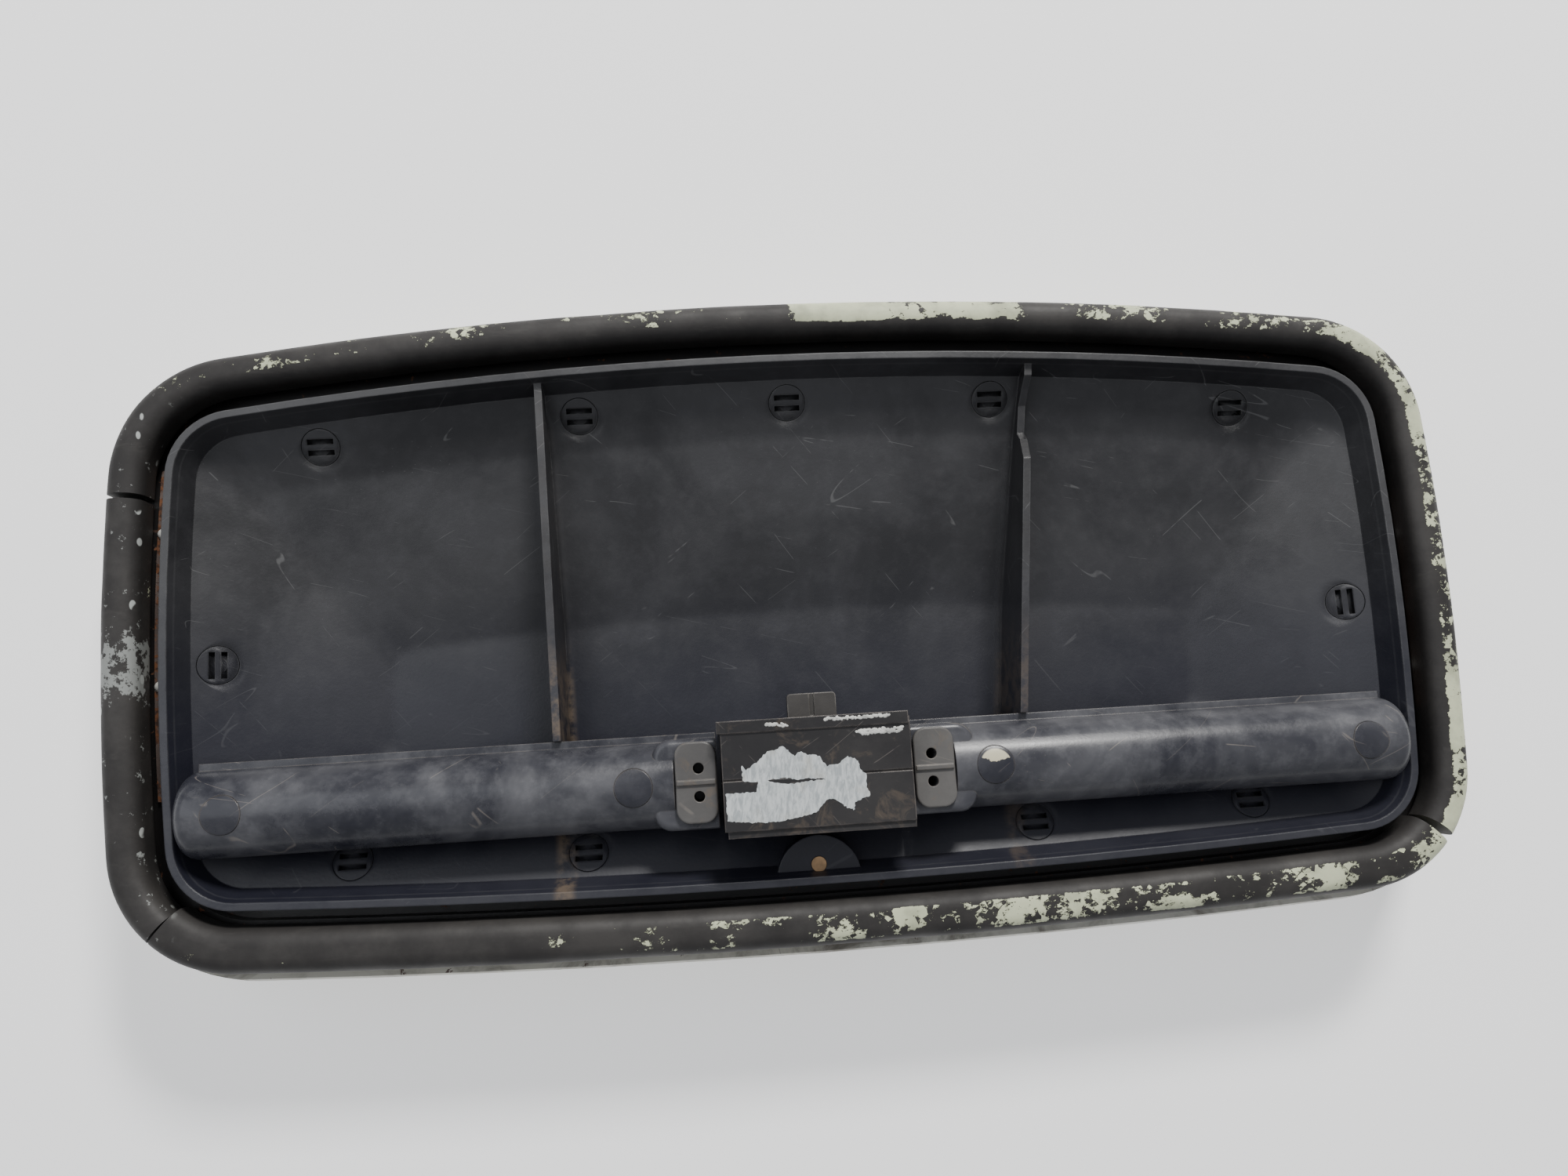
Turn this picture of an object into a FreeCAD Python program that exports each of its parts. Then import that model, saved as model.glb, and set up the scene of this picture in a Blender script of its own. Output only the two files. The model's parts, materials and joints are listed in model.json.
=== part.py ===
"""Rubber-sealed hatch leaf with an inner pan, a grab rail and a push-button latch.

Millimetres. The leaf lies on its outer cover, +Z towards its inner side, +Y towards its arched edge.
The origin is on the cover's outer face, under the middle of the pan.
"""
import FreeCAD, Part
import math
import os

V = FreeCAD.Vector
UP = V(0, 0, 1)
X_AXIS = V(1, 0, 0)
Y_AXIS = V(0, 1, 0)

# Plan outline of the pan's rim. Every ring of the leaf is parallel to it.
RIM_HALF_X = 210.0
RIM_Y_TOP = 90.0
RIM_Y_BOTTOM = -90.0
ARCH_RADIUS = 1500.0
FOOT_RADIUS = 3600.0
FLANK_RADIUS = 900.0
FLANK_MID_Y = 8.0
CORNER_RADIUS = 22.0
LEAST_CORNER = 8.0

# Levels
Z_RIM = 50.0
Z_WALL_FOOT = 40.0
Z_CREASE = 32.0
Z_PAN_FLOOR = 18.6
Z_SHELF = 26.0
Z_SEAL_SEAT = 34.0

# Inner pan: insets from the rim outline
PAN_WALL = 2.4
INSET_FOOT = 3.5
INSET_CREASE = 25.0
INSET_FLOOR = 66.0
FLOOR_SHIFT = -20.0

# Tools reach past what they cut, and edges are picked by their boxes with some slack
PAST = 1.0
SLACK = 0.01

# Seal, steel carrier and outer cover: insets are negative outside the rim
SEAL_OUTER = -20.0
SEAL_INNER = -8.0
LOWER_SEAL_INNER = -5.6
SEAL_HEIGHT = 16.0
SEAL_CROWN = 5.2
SEAL_FOOT_ROUND = 2.0
SEAL_CUT = 0.7
FRAME_SHEET = 2.0
FRAME_INNER = 16.0
FRAME_WEB = -5.0
FRAME_OUTER = -21.0
COVER_WALL = 2.5
COVER_SECTIONS = ((-24.0, 32.0), (-26.0, 24.0), (-16.0, 8.0), (-6.0, 2.0), (4.0, 0.0))
COVER_FLOOR_INSET = -1.5
COVER_LIP_INNER = -12.0
RIVET_INSET = -15.0
RIVET_R = 2.0
RIVET_COUNT = 18
RIVET_HEAD_R = 3.6
RIVET_HEAD_THICK = 1.4

# Flank strips
STRIP_THICK = 1.5
STRIP_RIVET_R = 1.4
STRIP_RIVET_INSET = -6.0
STRIP_DOME_R = 2.1
STRIP_LEFT = (-2.6, (-50.0, 62.0))
STRIP_RIGHT = (-2.2, (-44.0, 34.0))

# Ribs of the pan
RIB_THICK = 2.6
RIB_DROP = 3.0
RIB_HEAD_X = 86.5
RIB_FOOT_X = (-84.0, 73.0)
RIB_FOOT_Y = -38.5
BITE_Y = (50.0, 80.0)
BITE_DEPTH = 9.0

# Half-round boss in the foot wall and its plug
BOSS_R = 14.0
BOSS_Y = -88.5
BOSS_TOP = 45.0
PLUG_Y = -84.0
PLUG_R = 2.5

# Grab rail
RAIL_Y = -55.0
RAIL_R = 14.0
RAIL_Z = 44.0
RAIL_SKIRT = 6.0
RAIL_WALL = 2.4
RAIL_START = 46.0
RAIL_END = 203.0
SADDLE_X = (32.0, 53.0)
SADDLE_TOP = 55.5
FLANGE_Y = -38.6
CAP_X = (59.0, 187.0)
CAP_R = 6.2
POST_FLOOR = RAIL_Z + RAIL_R - 9
POST_WALL = 1.9
SCREW_R = 1.8

# Mounting pads with their pilot holes
PAD_X = (32.2, 45.6)
PAD_Y = (-67.5, -41.5)
PAD_THICK = 2.0
PAD_ROUND = 4.5
HOLE_X = 38.0
HOLE_PITCH_Y = 9.0
HOLE_R = 1.75
HOLE_DEPTH = 14.0

# Latch case
CASE_HALF_X = 30.5
CASE_Y = (-70.5, -37.5)
CASE_WALL = 2.2
CASE_TOP = 61.5
CASE_DECK = 42.0
COVER_THICK = 2.5
SCREW_COVER = 0.9
LIP = 1.7
BOLT_Z = (52.4, 56.4)
BOLT_HALF_X = 8.0
BOLT_TIP_Y = -28.0
BOLT_TAIL_Y = -63.0
BOLT_GAP = 0.35
LATCH_TRAVEL = 5.0
GUIDE_X = 6.0
GUIDE_HALF = 1.5
GUIDE_START_Y = -47.0
CASE_POST_R = 3.2
CASE_SCREW_R = 1.3

# Push button
BUTTON_Y = -54.0
BUTTON_R = 13.0
BUTTON_Z = (1.0, 4.0)
THUMB_RADIUS = 60.0
THUMB_DEPTH = 0.9
BEZEL_R = 15.8
BEZEL_FLANGE_R = 20.0
GASKET_THICK = 1.0
BEZEL_NUT_R = 22.0
BEZEL_NUT_THICK = 3.5
BEZEL_TOP = 16.0
FLANGE_THICK = 1.2
BUTTON_GAP = 0.35
LEDGE = 2.0
ROD_R = 5.0
FIT = 0.07
SPRING_R = 9.0
SPRING_WIRE_R = 0.6
SPRING_TURNS = 3
SPRING_END_GAP = 0.1

# Slanted blade on the push rod, which stands through the bolt's window
BLADE_TOP = 55.8
BLADE_HALF_X = 4.5
BLADE_FACE_Y = -52.0
BLADE_THICK_Y = 4.5
BLADE_GAP = 0.35
HEAD_THICK = 2.0
HEAD_Z = (BOLT_Z[0] - LATCH_TRAVEL - 0.4 - HEAD_THICK, BOLT_Z[0] - LATCH_TRAVEL - 0.4)
CLIP_R = 6.6
CLIP_Z = (BEZEL_TOP + 0.35, BEZEL_TOP + 1.55)
CLIP_GROOVE = 0.8

# Twin-slot studs that hold the pan
STUD_R = 6.4
STUD_THICK = 1.6
SLOT_DEPTH = 1.2
SLOT_PITCH = 1.9
SLOT_HALF = 0.95
STUD_INSET = 13.5
STUD_SHANK_R = 2.5
NUT_R = 5.5
NUT_THICK = 3.5
STUD_TOP_X = (-162.5, -73.5, 0.0, 73.5, 162.5)
STUD_FOOT_X = (-153.0, -76.0, 76.0, 153.0)
STUD_SIDE_Y = -6.0


def box(x, y, z):
    """A box from three (low, high) pairs."""
    solid = Part.makeBox(x[1] - x[0], y[1] - y[0], z[1] - z[0])
    solid.translate(V(x[0], y[0], z[0]))
    return solid


def rod(radius, x, y, z):
    """An upright cylinder between two heights."""
    return Part.makeCylinder(radius, z[1] - z[0], V(x, y, z[0]), UP)


def tube(outer, inner, x, y, z):
    """An upright tube between two heights."""
    return rod(outer, x, y, z).cut(rod(inner, x, y, z))


def join(shapes):
    """One solid from touching or overlapping shapes."""
    whole = shapes[0]
    for shape in shapes[1:]:
        whole = whole.fuse(shape)
    return whole.removeSplitter()


def mirror_x(shape):
    """The shape on the other side of the middle."""
    return shape.mirror(V(0, 0, 0), X_AXIS)


def circle_crossing(a, ra, b, rb, side):
    """The upper crossing of two circles, or the lower one if side is negative."""
    gap = b.sub(a)
    d = gap.Length
    along = (d * d + ra * ra - rb * rb) / (2 * d)
    off = math.sqrt(ra * ra - along * along)
    base = a.add(gap.multiply(along / d))
    across = V(-(b.y - a.y) / d, (b.x - a.x) / d, 0)
    first = base.add(V(across).multiply(off))
    second = base.sub(V(across).multiply(off))
    return first if (first.y - second.y) * side > 0 else second


def toward(centre, point, radius):
    """The point at a radius from a centre, on the line through another point."""
    return centre.add(point.sub(centre).normalize().multiply(radius))


def outline(inset, z):
    """Closed wire of eight tangent arcs, parallel to the rim outline."""
    arch = (V(0, RIM_Y_TOP - ARCH_RADIUS, 0), ARCH_RADIUS - inset)
    foot = (V(0, RIM_Y_BOTTOM + FOOT_RADIUS, 0), FOOT_RADIUS - inset)
    right = (V(RIM_HALF_X - FLANK_RADIUS, FLANK_MID_Y, 0), FLANK_RADIUS - inset)
    left = (V(FLANK_RADIUS - RIM_HALF_X, FLANK_MID_Y, 0), FLANK_RADIUS - inset)
    sides = (right, arch, left, foot)
    corner = max(CORNER_RADIUS - inset, LEAST_CORNER)
    centres = []
    for i, upper in ((0, 1), (1, 1), (2, -1), (3, -1)):
        (ca, ra), (cb, rb) = sides[i], sides[(i + 1) % 4]
        centres.append(circle_crossing(ca, ra - corner, cb, rb - corner, upper))
    edges = []
    for i, (centre, radius) in enumerate(sides):
        before = toward(centre, centres[i - 1], radius)
        after = toward(centre, centres[i], radius)
        middle = toward(centre, before.add(after).multiply(0.5), radius)
        edges.append((before, middle, after))
        following, size = sides[(i + 1) % 4]
        end = toward(following, centres[i], size)
        bulge = toward(centres[i], after.add(end).multiply(0.5), corner)
        edges.append((after, bulge, end))
    arcs = [Part.Arc(a, b, c).toShape() for a, b, c in edges]
    wire = Part.Wire(arcs)
    wire.translate(V(0, 0, z))
    return wire


def slab(inset, z):
    """The filled outline between two heights."""
    return Part.Face(outline(inset, z[0])).extrude(V(0, 0, z[1] - z[0]))


def ring(outer, inner, z):
    """The band between two outlines, between two heights."""
    return slab(outer, z).cut(slab(inner, (z[0] - PAST, z[1] + PAST)))


def bowl(sections):
    """The solid through several outlines, given as (inset, height) pairs."""
    return Part.makeLoft([outline(inset, z) for inset, z in sections], True, True)


def dish(border, floor_z):
    """The solid from the rim down to the dish's floor, which lies nearer the grab rail."""
    floor = outline(INSET_FLOOR, floor_z)
    floor.translate(V(0, FLOOR_SHIFT, 0))
    return Part.makeLoft([outline(inset, z) for inset, z in border] + [floor], True, True)


def pan_space():
    """The room inside the pan, up past the rim."""
    return join([
        dish(((PAN_WALL, Z_RIM), (INSET_FOOT + PAN_WALL, Z_WALL_FOOT), (INSET_CREASE, Z_CREASE)),
             Z_PAN_FLOOR),
        slab(PAN_WALL, (Z_RIM, Z_RIM + 20)),
    ])


def pan_body():
    """The filled outside form of the pan."""
    border = ((0.0, Z_RIM), (INSET_FOOT, Z_WALL_FOOT - PAN_WALL), (INSET_CREASE, Z_CREASE - PAN_WALL))
    return dish(border, Z_PAN_FLOOR - PAN_WALL)


def rib(side):
    """A cross rib from the arched wall to the grab rail."""
    foot_x = RIB_FOOT_X[0] if side < 0 else RIB_FOOT_X[1]
    head_x = side * RIB_HEAD_X
    half = RIB_THICK / 2
    corners = [V(head_x - half, RIM_Y_TOP, 0), V(head_x + half, RIM_Y_TOP, 0),
               V(foot_x + half, RIB_FOOT_Y, 0), V(foot_x - half, RIB_FOOT_Y, 0)]
    plate = Part.Face(Part.makePolygon(corners + corners[:1])).extrude(V(0, 0, Z_RIM - RIB_DROP))
    if side > 0:
        plate = plate.cut(bite())
    return plate


def bite():
    """The piece broken out of the right rib near its head."""
    top = Z_RIM - RIB_DROP
    low, high = BITE_Y
    points = [V(0, low, top + PAST), V(0, low, top), V(0, low + 8, top - 5), V(0, low + 11, top - BITE_DEPTH),
              V(0, high - 9, top - BITE_DEPTH + 1), V(0, high - 4, top - 4), V(0, high, top),
              V(0, high, top + PAST)]
    return Part.Face(Part.makePolygon(points + points[:1])).extrude(V(RIB_HEAD_X + 20, 0, 0))


def stud_places():
    """Each stud's place on the sloping border, with its inward direction."""
    places = []
    arch_y = RIM_Y_TOP - ARCH_RADIUS
    for x in STUD_TOP_X:
        places.append((x, arch_y + math.sqrt((ARCH_RADIUS - STUD_INSET) ** 2 - x * x), V(0, -1, 0)))
    foot_y = RIM_Y_BOTTOM + FOOT_RADIUS
    for x in STUD_FOOT_X:
        places.append((x, foot_y - math.sqrt((FOOT_RADIUS - STUD_INSET) ** 2 - x * x), V(0, 1, 0)))
    for side in (-1, 1):
        places.append((side * (RIM_HALF_X - STUD_INSET), STUD_SIDE_Y, V(-side, 0, 0)))
    return places


def border_slope():
    """Slope of the pan's border, in radians."""
    return math.atan2(Z_WALL_FOOT - Z_CREASE, INSET_CREASE - INSET_FOOT - PAN_WALL)


def border_height():
    """Height of the border's face at the studs."""
    return Z_WALL_FOOT - (STUD_INSET - INSET_FOOT - PAN_WALL) * math.tan(border_slope())


def stud_disc(radius, place, low, high):
    """A disc square to the border, between two depths measured from its face."""
    x, y, inward = place
    normal = V(0, 0, math.cos(border_slope())).add(V(inward).multiply(math.sin(border_slope())))
    base = V(x, y, border_height()).add(V(normal).multiply(low))
    return Part.makeCylinder(radius, high - low, base, normal)


def stud_seat(place):
    """The counterbore and the shank hole for one stud."""
    x, y, _ = place
    shank = rod(STUD_SHANK_R + 0.2, x, y, (Z_SHELF - 8, Z_RIM - 8))
    return stud_disc(STUD_R + 0.2, place, -STUD_THICK, 6).fuse(shank)


def stud(place):
    """One flush stud with two parallel slots and a shank down to the shelf."""
    x, y, inward = place
    head = stud_disc(STUD_R, place, -STUD_THICK, 0.05)
    across = V(-inward.y, inward.x, 0)
    for side in (-1, 1):
        blade = box((-4.5, 4.5), (side * SLOT_PITCH - SLOT_HALF, side * SLOT_PITCH + SLOT_HALF),
                    (border_height() - SLOT_DEPTH, Z_RIM))
        angle = math.degrees(math.atan2(across.y, across.x))
        blade.rotate(V(0, 0, 0), UP, angle)
        blade.rotate(V(0, 0, border_height()), V(inward.y, -inward.x, 0), -math.degrees(border_slope()))
        blade.translate(V(x, y, 0))
        head = head.cut(blade)
    shank = rod(STUD_SHANK_R, x, y, (Z_SHELF - 4, border_height() - STUD_THICK))
    return head.fuse(shank).removeSplitter()


def screw_places():
    """Plan places of the grab rail's four screws."""
    return [(side * x, RAIL_Y) for side in (-1, 1) for x in CAP_X]


def inner_pan():
    """Rim, sloping border and dish in one moulding, with its ribs and the half-round boss."""
    body = pan_body()
    shell = body.cut(pan_space())
    extras = [rib(-1), rib(1), rod(BOSS_R, 0, BOSS_Y, (Z_PAN_FLOOR, BOSS_TOP))]
    for extra in extras:
        shell = shell.fuse(extra.common(body))
    shell = shell.cut(rod(BOSS_R - PAN_WALL, 0, BOSS_Y, (0, BOSS_TOP - PAN_WALL)))
    shell = shell.cut(rod(PLUG_R + 0.05, 0, PLUG_Y, (BOSS_TOP - 5, BOSS_TOP + 1)))
    shell = shell.cut(rod(CLIP_R + 0.9, 0, BUTTON_Y, (0, Z_RIM)))
    for place in stud_places():
        shell = shell.cut(stud_seat(place))
    for x, y in screw_places():
        shell = shell.cut(rod(SCREW_R + 0.05, x, y, (0, Z_RIM)))
    return shell.removeSplitter()


def boss_plug():
    """Plug in the boss's small hole."""
    under = BOSS_TOP - PAN_WALL
    return join([rod(PLUG_R, 0, PLUG_Y, (under, BOSS_TOP + 0.3)),
                 rod(PLUG_R + 1.1, 0, PLUG_Y, (under - 1.2, under))])


def seal_ring(inner):
    """The whole rubber bulb, before it is cut into lengths."""
    band = ring(SEAL_OUTER, inner, (Z_SEAL_SEAT, Z_SEAL_SEAT + SEAL_HEIGHT))
    top = [e for e in band.Edges if e.BoundBox.ZMin > Z_SEAL_SEAT + SEAL_HEIGHT - SLACK]
    band = band.makeFillet(SEAL_CROWN, top)
    low = [e for e in band.Edges if e.BoundBox.ZMax < Z_SEAL_SEAT + SLACK]
    return band.makeFillet(SEAL_FOOT_ROUND, low)


def seal_knife(x, y, angle):
    """A thin upright blade across the seal."""
    blade = box((-20, 20), (-SEAL_CUT / 2, SEAL_CUT / 2), (Z_SEAL_SEAT - 5, Z_RIM + 5))
    blade.rotate(V(0, 0, 0), UP, angle)
    blade.translate(V(x, y, 0))
    return blade


def seal_lengths():
    """The three lengths of seal, cut at the crack and at the two lower butt joints."""
    knives = [seal_knife(-222, 50, -20), seal_knife(-213, -93, 35), seal_knife(216, -90, -40)]
    lengths = {}
    for inner in (SEAL_INNER, LOWER_SEAL_INNER):
        band = seal_ring(inner)
        for knife in knives:
            band = band.cut(knife)
        for solid in band.Solids:
            centre = solid.CenterOfMass
            low = centre.y < -70
            if low and inner == LOWER_SEAL_INNER:
                lengths["seal_lower"] = solid
            if not low and inner == SEAL_INNER:
                lengths["seal_left" if centre.x < -150 else "seal_upper"] = solid
    return lengths


def rivet_places(count, inset):
    """Places spread evenly along an outline."""
    wire = outline(inset, 0)
    return [(p.x, p.y) for p in wire.discretize(count + 1)[:-1]]


def carrier_frame():
    """Pressed steel ring: a shelf under the pan's border, a web, and the seal's seat."""
    frame = join([
        ring(FRAME_WEB - FRAME_SHEET, FRAME_INNER, (Z_SHELF, Z_SHELF + FRAME_SHEET)),
        ring(FRAME_WEB - FRAME_SHEET, FRAME_WEB, (Z_SHELF, Z_SEAL_SEAT)),
        ring(FRAME_OUTER, FRAME_WEB, (Z_SEAL_SEAT - FRAME_SHEET, Z_SEAL_SEAT)),
    ])
    for x, y, _ in stud_places():
        frame = frame.cut(rod(STUD_SHANK_R + 0.2, x, y, (0, Z_RIM)))
    for x, y in rivet_places(RIVET_COUNT, RIVET_INSET):
        frame = frame.cut(rod(RIVET_R, x, y, (0, Z_RIM)))
    for x, y in strip_rivet_places():
        frame = frame.cut(rod(STRIP_RIVET_R, x, y, (0, Z_RIM)))
    return frame


def frame_rivets():
    """Rivets that join the carrier frame to the cover's lip, heads inside the cover."""
    lip_low = Z_SEAL_SEAT - FRAME_SHEET - COVER_WALL
    rivets = []
    for x, y in rivet_places(RIVET_COUNT, RIVET_INSET):
        shank = rod(RIVET_R, x, y, (lip_low, Z_SEAL_SEAT))
        rivets.append(join([shank, rod(RIVET_HEAD_R, x, y, (lip_low - RIVET_HEAD_THICK, lip_low))]))
    return Part.makeCompound(rivets)


def outer_cover():
    """Dished outer hood with an inward lip under the carrier frame and a recess for the bezel."""
    inner = [(inset + COVER_WALL, z) for inset, z in COVER_SECTIONS[:-2]]
    top = COVER_SECTIONS[0][1]
    inner.append((COVER_FLOOR_INSET, COVER_WALL))
    shell = bowl(COVER_SECTIONS).cut(bowl(inner))
    lip = ring(COVER_SECTIONS[0][0] + 1, COVER_LIP_INNER, (top - COVER_WALL, top))
    shell = shell.fuse(lip)
    shell = shell.cut(rod(BEZEL_R + 0.05, 0, BUTTON_Y, (-PAST, COVER_WALL + PAST)))
    shell = shell.cut(rod(BEZEL_FLANGE_R + 0.1, 0, BUTTON_Y, (-PAST, FLANGE_THICK)))
    for x, y in rivet_places(RIVET_COUNT, RIVET_INSET):
        shell = shell.cut(rod(RIVET_R, x, y, (top - 5, top + PAST)))
    return shell.removeSplitter()


def pan_gasket():
    """Foam strip between the frame's shelf and the underside of the pan's border."""
    return ring(5.0, 9.0, (Z_SHELF + FRAME_SHEET, Z_WALL_FOOT - 1)).cut(pan_body())


def edge_strip(inner, y):
    """A flat steel strip on the seal's seat, along the right flank."""
    band = ring(SEAL_INNER + 0.2, inner, (Z_SEAL_SEAT, Z_SEAL_SEAT + STRIP_THICK))
    return band.common(box((0, RIM_HALF_X + 40), y, (Z_SHELF, Z_RIM)))


def strip_rivet_places():
    """Left strip first, then right strip."""
    middle_x = RIM_HALF_X - FLANK_RADIUS
    reach = FLANK_RADIUS - STRIP_RIVET_INSET
    places = []
    for side, y in ((-1, -12.0), (-1, 40.0), (1, 18.0), (1, -30.0)):
        places.append((side * (middle_x + math.sqrt(reach ** 2 - (y - FLANK_MID_Y) ** 2)), y))
    return places


def strips():
    """The steel strips in the gap beside the seal, and the rivets that hold them."""
    left = mirror_x(edge_strip(*STRIP_LEFT))
    right = edge_strip(*STRIP_RIGHT)
    rivets = []
    for x, y in strip_rivet_places():
        hole = rod(STRIP_RIVET_R, x, y, (Z_SHELF, Z_RIM))
        left = left.cut(hole)
        right = right.cut(hole)
        shank = rod(STRIP_RIVET_R, x, y, (Z_SEAL_SEAT - FRAME_SHEET, Z_SEAL_SEAT + STRIP_THICK))
        dome = Part.makeSphere(STRIP_DOME_R, V(x, y, Z_SEAL_SEAT + STRIP_THICK - 0.9))
        dome = dome.common(rod(STRIP_DOME_R, x, y, (Z_SEAL_SEAT + STRIP_THICK, Z_RIM)))
        rivets.append(join([shank, dome]))
    return left, right, Part.makeCompound(rivets)


def rail_section(radius):
    """Half-round top on straight skirts, as a face square to X."""
    low = RAIL_Z - RAIL_SKIRT
    a, b = V(0, RAIL_Y - radius, low), V(0, RAIL_Y - radius, RAIL_Z)
    c, d = V(0, RAIL_Y + radius, RAIL_Z), V(0, RAIL_Y + radius, low)
    crown = Part.Arc(b, V(0, RAIL_Y, RAIL_Z + radius), c).toShape()
    wire = Part.Wire([Part.makeLine(a, b), crown, Part.makeLine(c, d), Part.makeLine(d, a)])
    return Part.Face(wire)


def rail_length(radius, x):
    """A stretch of the rail's section between two places."""
    body = rail_section(radius).extrude(V(x[1] - x[0], 0, 0))
    body.translate(V(x[0], 0, 0))
    return body


def round_end(body):
    """The rail's outer form with its far edge rounded."""
    edges = [e for e in body.Edges if e.BoundBox.XMin > RAIL_END - SLACK and e.BoundBox.ZMax > RAIL_Z - 1]
    return body.makeFillet(5.0, edges)


def saddle():
    """The block that the pad sits on."""
    body = box(SADDLE_X, (RAIL_Y - RAIL_R - 0.6, RAIL_Y + RAIL_R + 0.6), (RAIL_Z - RAIL_SKIRT, SADDLE_TOP))
    upright = [e for e in body.Edges if abs(e.BoundBox.ZLength - (SADDLE_TOP - RAIL_Z + RAIL_SKIRT)) < SLACK
               and e.BoundBox.XMin > SADDLE_X[1] - SLACK]
    body = body.makeFillet(6.0, upright)
    crown = [e for e in body.Edges
             if e.BoundBox.ZMin > SADDLE_TOP - SLACK and e.BoundBox.XMax > SADDLE_X[0] + 0.1]
    return body.makeFillet(2.2, crown)


def grab_rail():
    """Right half of the grab rail: a hollow half-round moulding with screw posts and a saddle."""
    outer = round_end(rail_length(RAIL_R, (RAIL_START, RAIL_END)))
    hollow = rail_length(RAIL_R - RAIL_WALL, (RAIL_START + RAIL_WALL, RAIL_END - RAIL_WALL))
    block = saddle()
    flange = box((SADDLE_X[0], RAIL_END - 4), (RAIL_Y + RAIL_R - 1, FLANGE_Y), (RAIL_Z - 1, RAIL_Z + 1))
    body = join([outer.cut(hollow), block, flange])
    end_foot = box((RAIL_END - 6, RAIL_END - 0.6), (RAIL_Y - 6, RAIL_Y + 6), (Z_PAN_FLOOR, RAIL_Z))
    body = body.fuse(end_foot)
    for x in CAP_X:
        post = rod(CAP_R + POST_WALL, x, RAIL_Y, (Z_PAN_FLOOR, RAIL_Z + RAIL_R - 2))
        body = body.fuse(post.common(post_room()))
    for x in CAP_X:
        body = body.cut(rod(CAP_R, x, RAIL_Y, (POST_FLOOR, Z_RIM + 20)))
        body = body.cut(rod(SCREW_R + 0.05, x, RAIL_Y, (0, Z_RIM)))
    for y in hole_rows():
        body = body.cut(rod(HOLE_R, HOLE_X, y, (SADDLE_TOP - HOLE_DEPTH, Z_RIM + 20)))
    return body.common(pan_space()).removeSplitter()


def post_room():
    """Room for a screw post: inside the rail, and straight down from it."""
    skirt = box((0, RAIL_END), (RAIL_Y - RAIL_R, RAIL_Y + RAIL_R), (0, RAIL_Z))
    return rail_length(RAIL_R - 0.5, (0, RAIL_END)).fuse(skirt)


def rail_cap(x):
    """A plug flush with the rail's crown, over a screw."""
    plug = rod(CAP_R - 0.05, x, RAIL_Y, (POST_FLOOR + 3.4, RAIL_Z + RAIL_R + 2))
    form = rail_length(RAIL_R + 0.15, (0, RAIL_END))
    if x < 0:
        form = mirror_x(form)
    return plug.common(form)


def rail_screw(x):
    """A pan-head screw down a post and through the pan."""
    head = rod(3.6, x, RAIL_Y, (POST_FLOOR, POST_FLOOR + 2.6))
    cross = box((x - 2.2, x + 2.2), (RAIL_Y - 0.5, RAIL_Y + 0.5), (POST_FLOOR + 1.6, POST_FLOOR + 3))
    shank = rod(SCREW_R, x, RAIL_Y, (Z_PAN_FLOOR - 2, POST_FLOOR))
    return head.cut(cross).fuse(shank).removeSplitter()


def hole_rows():
    """The two rows of pilot holes."""
    middle = RAIL_Y + 0.5
    return [middle - HOLE_PITCH_Y / 2, middle + HOLE_PITCH_Y / 2]


def mounting_pad():
    """Right pad: a rounded plate with two pilot holes and a ridge between them."""
    top = SADDLE_TOP + PAD_THICK
    plate = box(PAD_X, PAD_Y, (SADDLE_TOP, top))
    corners = [e for e in plate.Edges if abs(e.BoundBox.ZLength - PAD_THICK) < SLACK]
    plate = plate.makeFillet(PAD_ROUND, corners)
    crown = [e for e in plate.Edges if e.BoundBox.ZMin > top - SLACK]
    plate = plate.makeFillet(0.6, crown)
    middle = RAIL_Y + 0.5
    ridge = box((PAD_X[0] + 0.5, PAD_X[1] - 0.5), (middle - 0.7, middle + 0.7), (top - 0.5, top + 0.8))
    plate = plate.fuse(ridge)
    for y in hole_rows():
        plate = plate.cut(rod(HOLE_R, HOLE_X, y, (0, top + 5)))
    return plate.removeSplitter()


def case_screw_places():
    """Plan places of the four screws in the case's corners."""
    return [(sx * 26.0, y) for sx in (-1, 1) for y in (-65.5, -42.5)]


def latch_case():
    """Tub of the latch, standing on the dish, with a deck over the push rod's way."""
    inside_x = (-CASE_HALF_X + CASE_WALL, CASE_HALF_X - CASE_WALL)
    inside_y = (CASE_Y[0] + CASE_WALL, CASE_Y[1] - CASE_WALL)
    tub = box((-CASE_HALF_X, CASE_HALF_X), CASE_Y, (Z_PAN_FLOOR, CASE_TOP))
    tub = tub.cut(box(inside_x, inside_y, (CASE_DECK, CASE_TOP + PAST)))
    tub = tub.cut(box(inside_x, inside_y, (0, CASE_DECK - CASE_WALL)))
    for x, y in case_screw_places():
        tub = tub.fuse(rod(CASE_POST_R, x, y, (CASE_DECK, CASE_TOP)))
    slot_x = BOLT_HALF_X + BOLT_GAP
    slot_z = (BOLT_Z[0] - BOLT_GAP, BOLT_Z[1] + BOLT_GAP)
    tub = tub.cut(box((-slot_x, slot_x), (inside_y[1] - PAST, CASE_Y[1] + PAST), slot_z))
    tub = tub.cut(rod(ROD_R + FIT, 0, BUTTON_Y, (0, CASE_DECK + PAST)))
    for side in (-1, 1):
        guide_x = (side * GUIDE_X - GUIDE_HALF, side * GUIDE_X + GUIDE_HALF)
        tub = tub.fuse(box(guide_x, (GUIDE_START_Y, inside_y[1]), (CASE_DECK, BOLT_Z[0] - BOLT_GAP)))
    for x, y in case_screw_places():
        tub = tub.cut(rod(CASE_SCREW_R, x, y, (CASE_DECK + 4, CASE_TOP + PAST)))
    return tub.common(pan_space()).removeSplitter()


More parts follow.
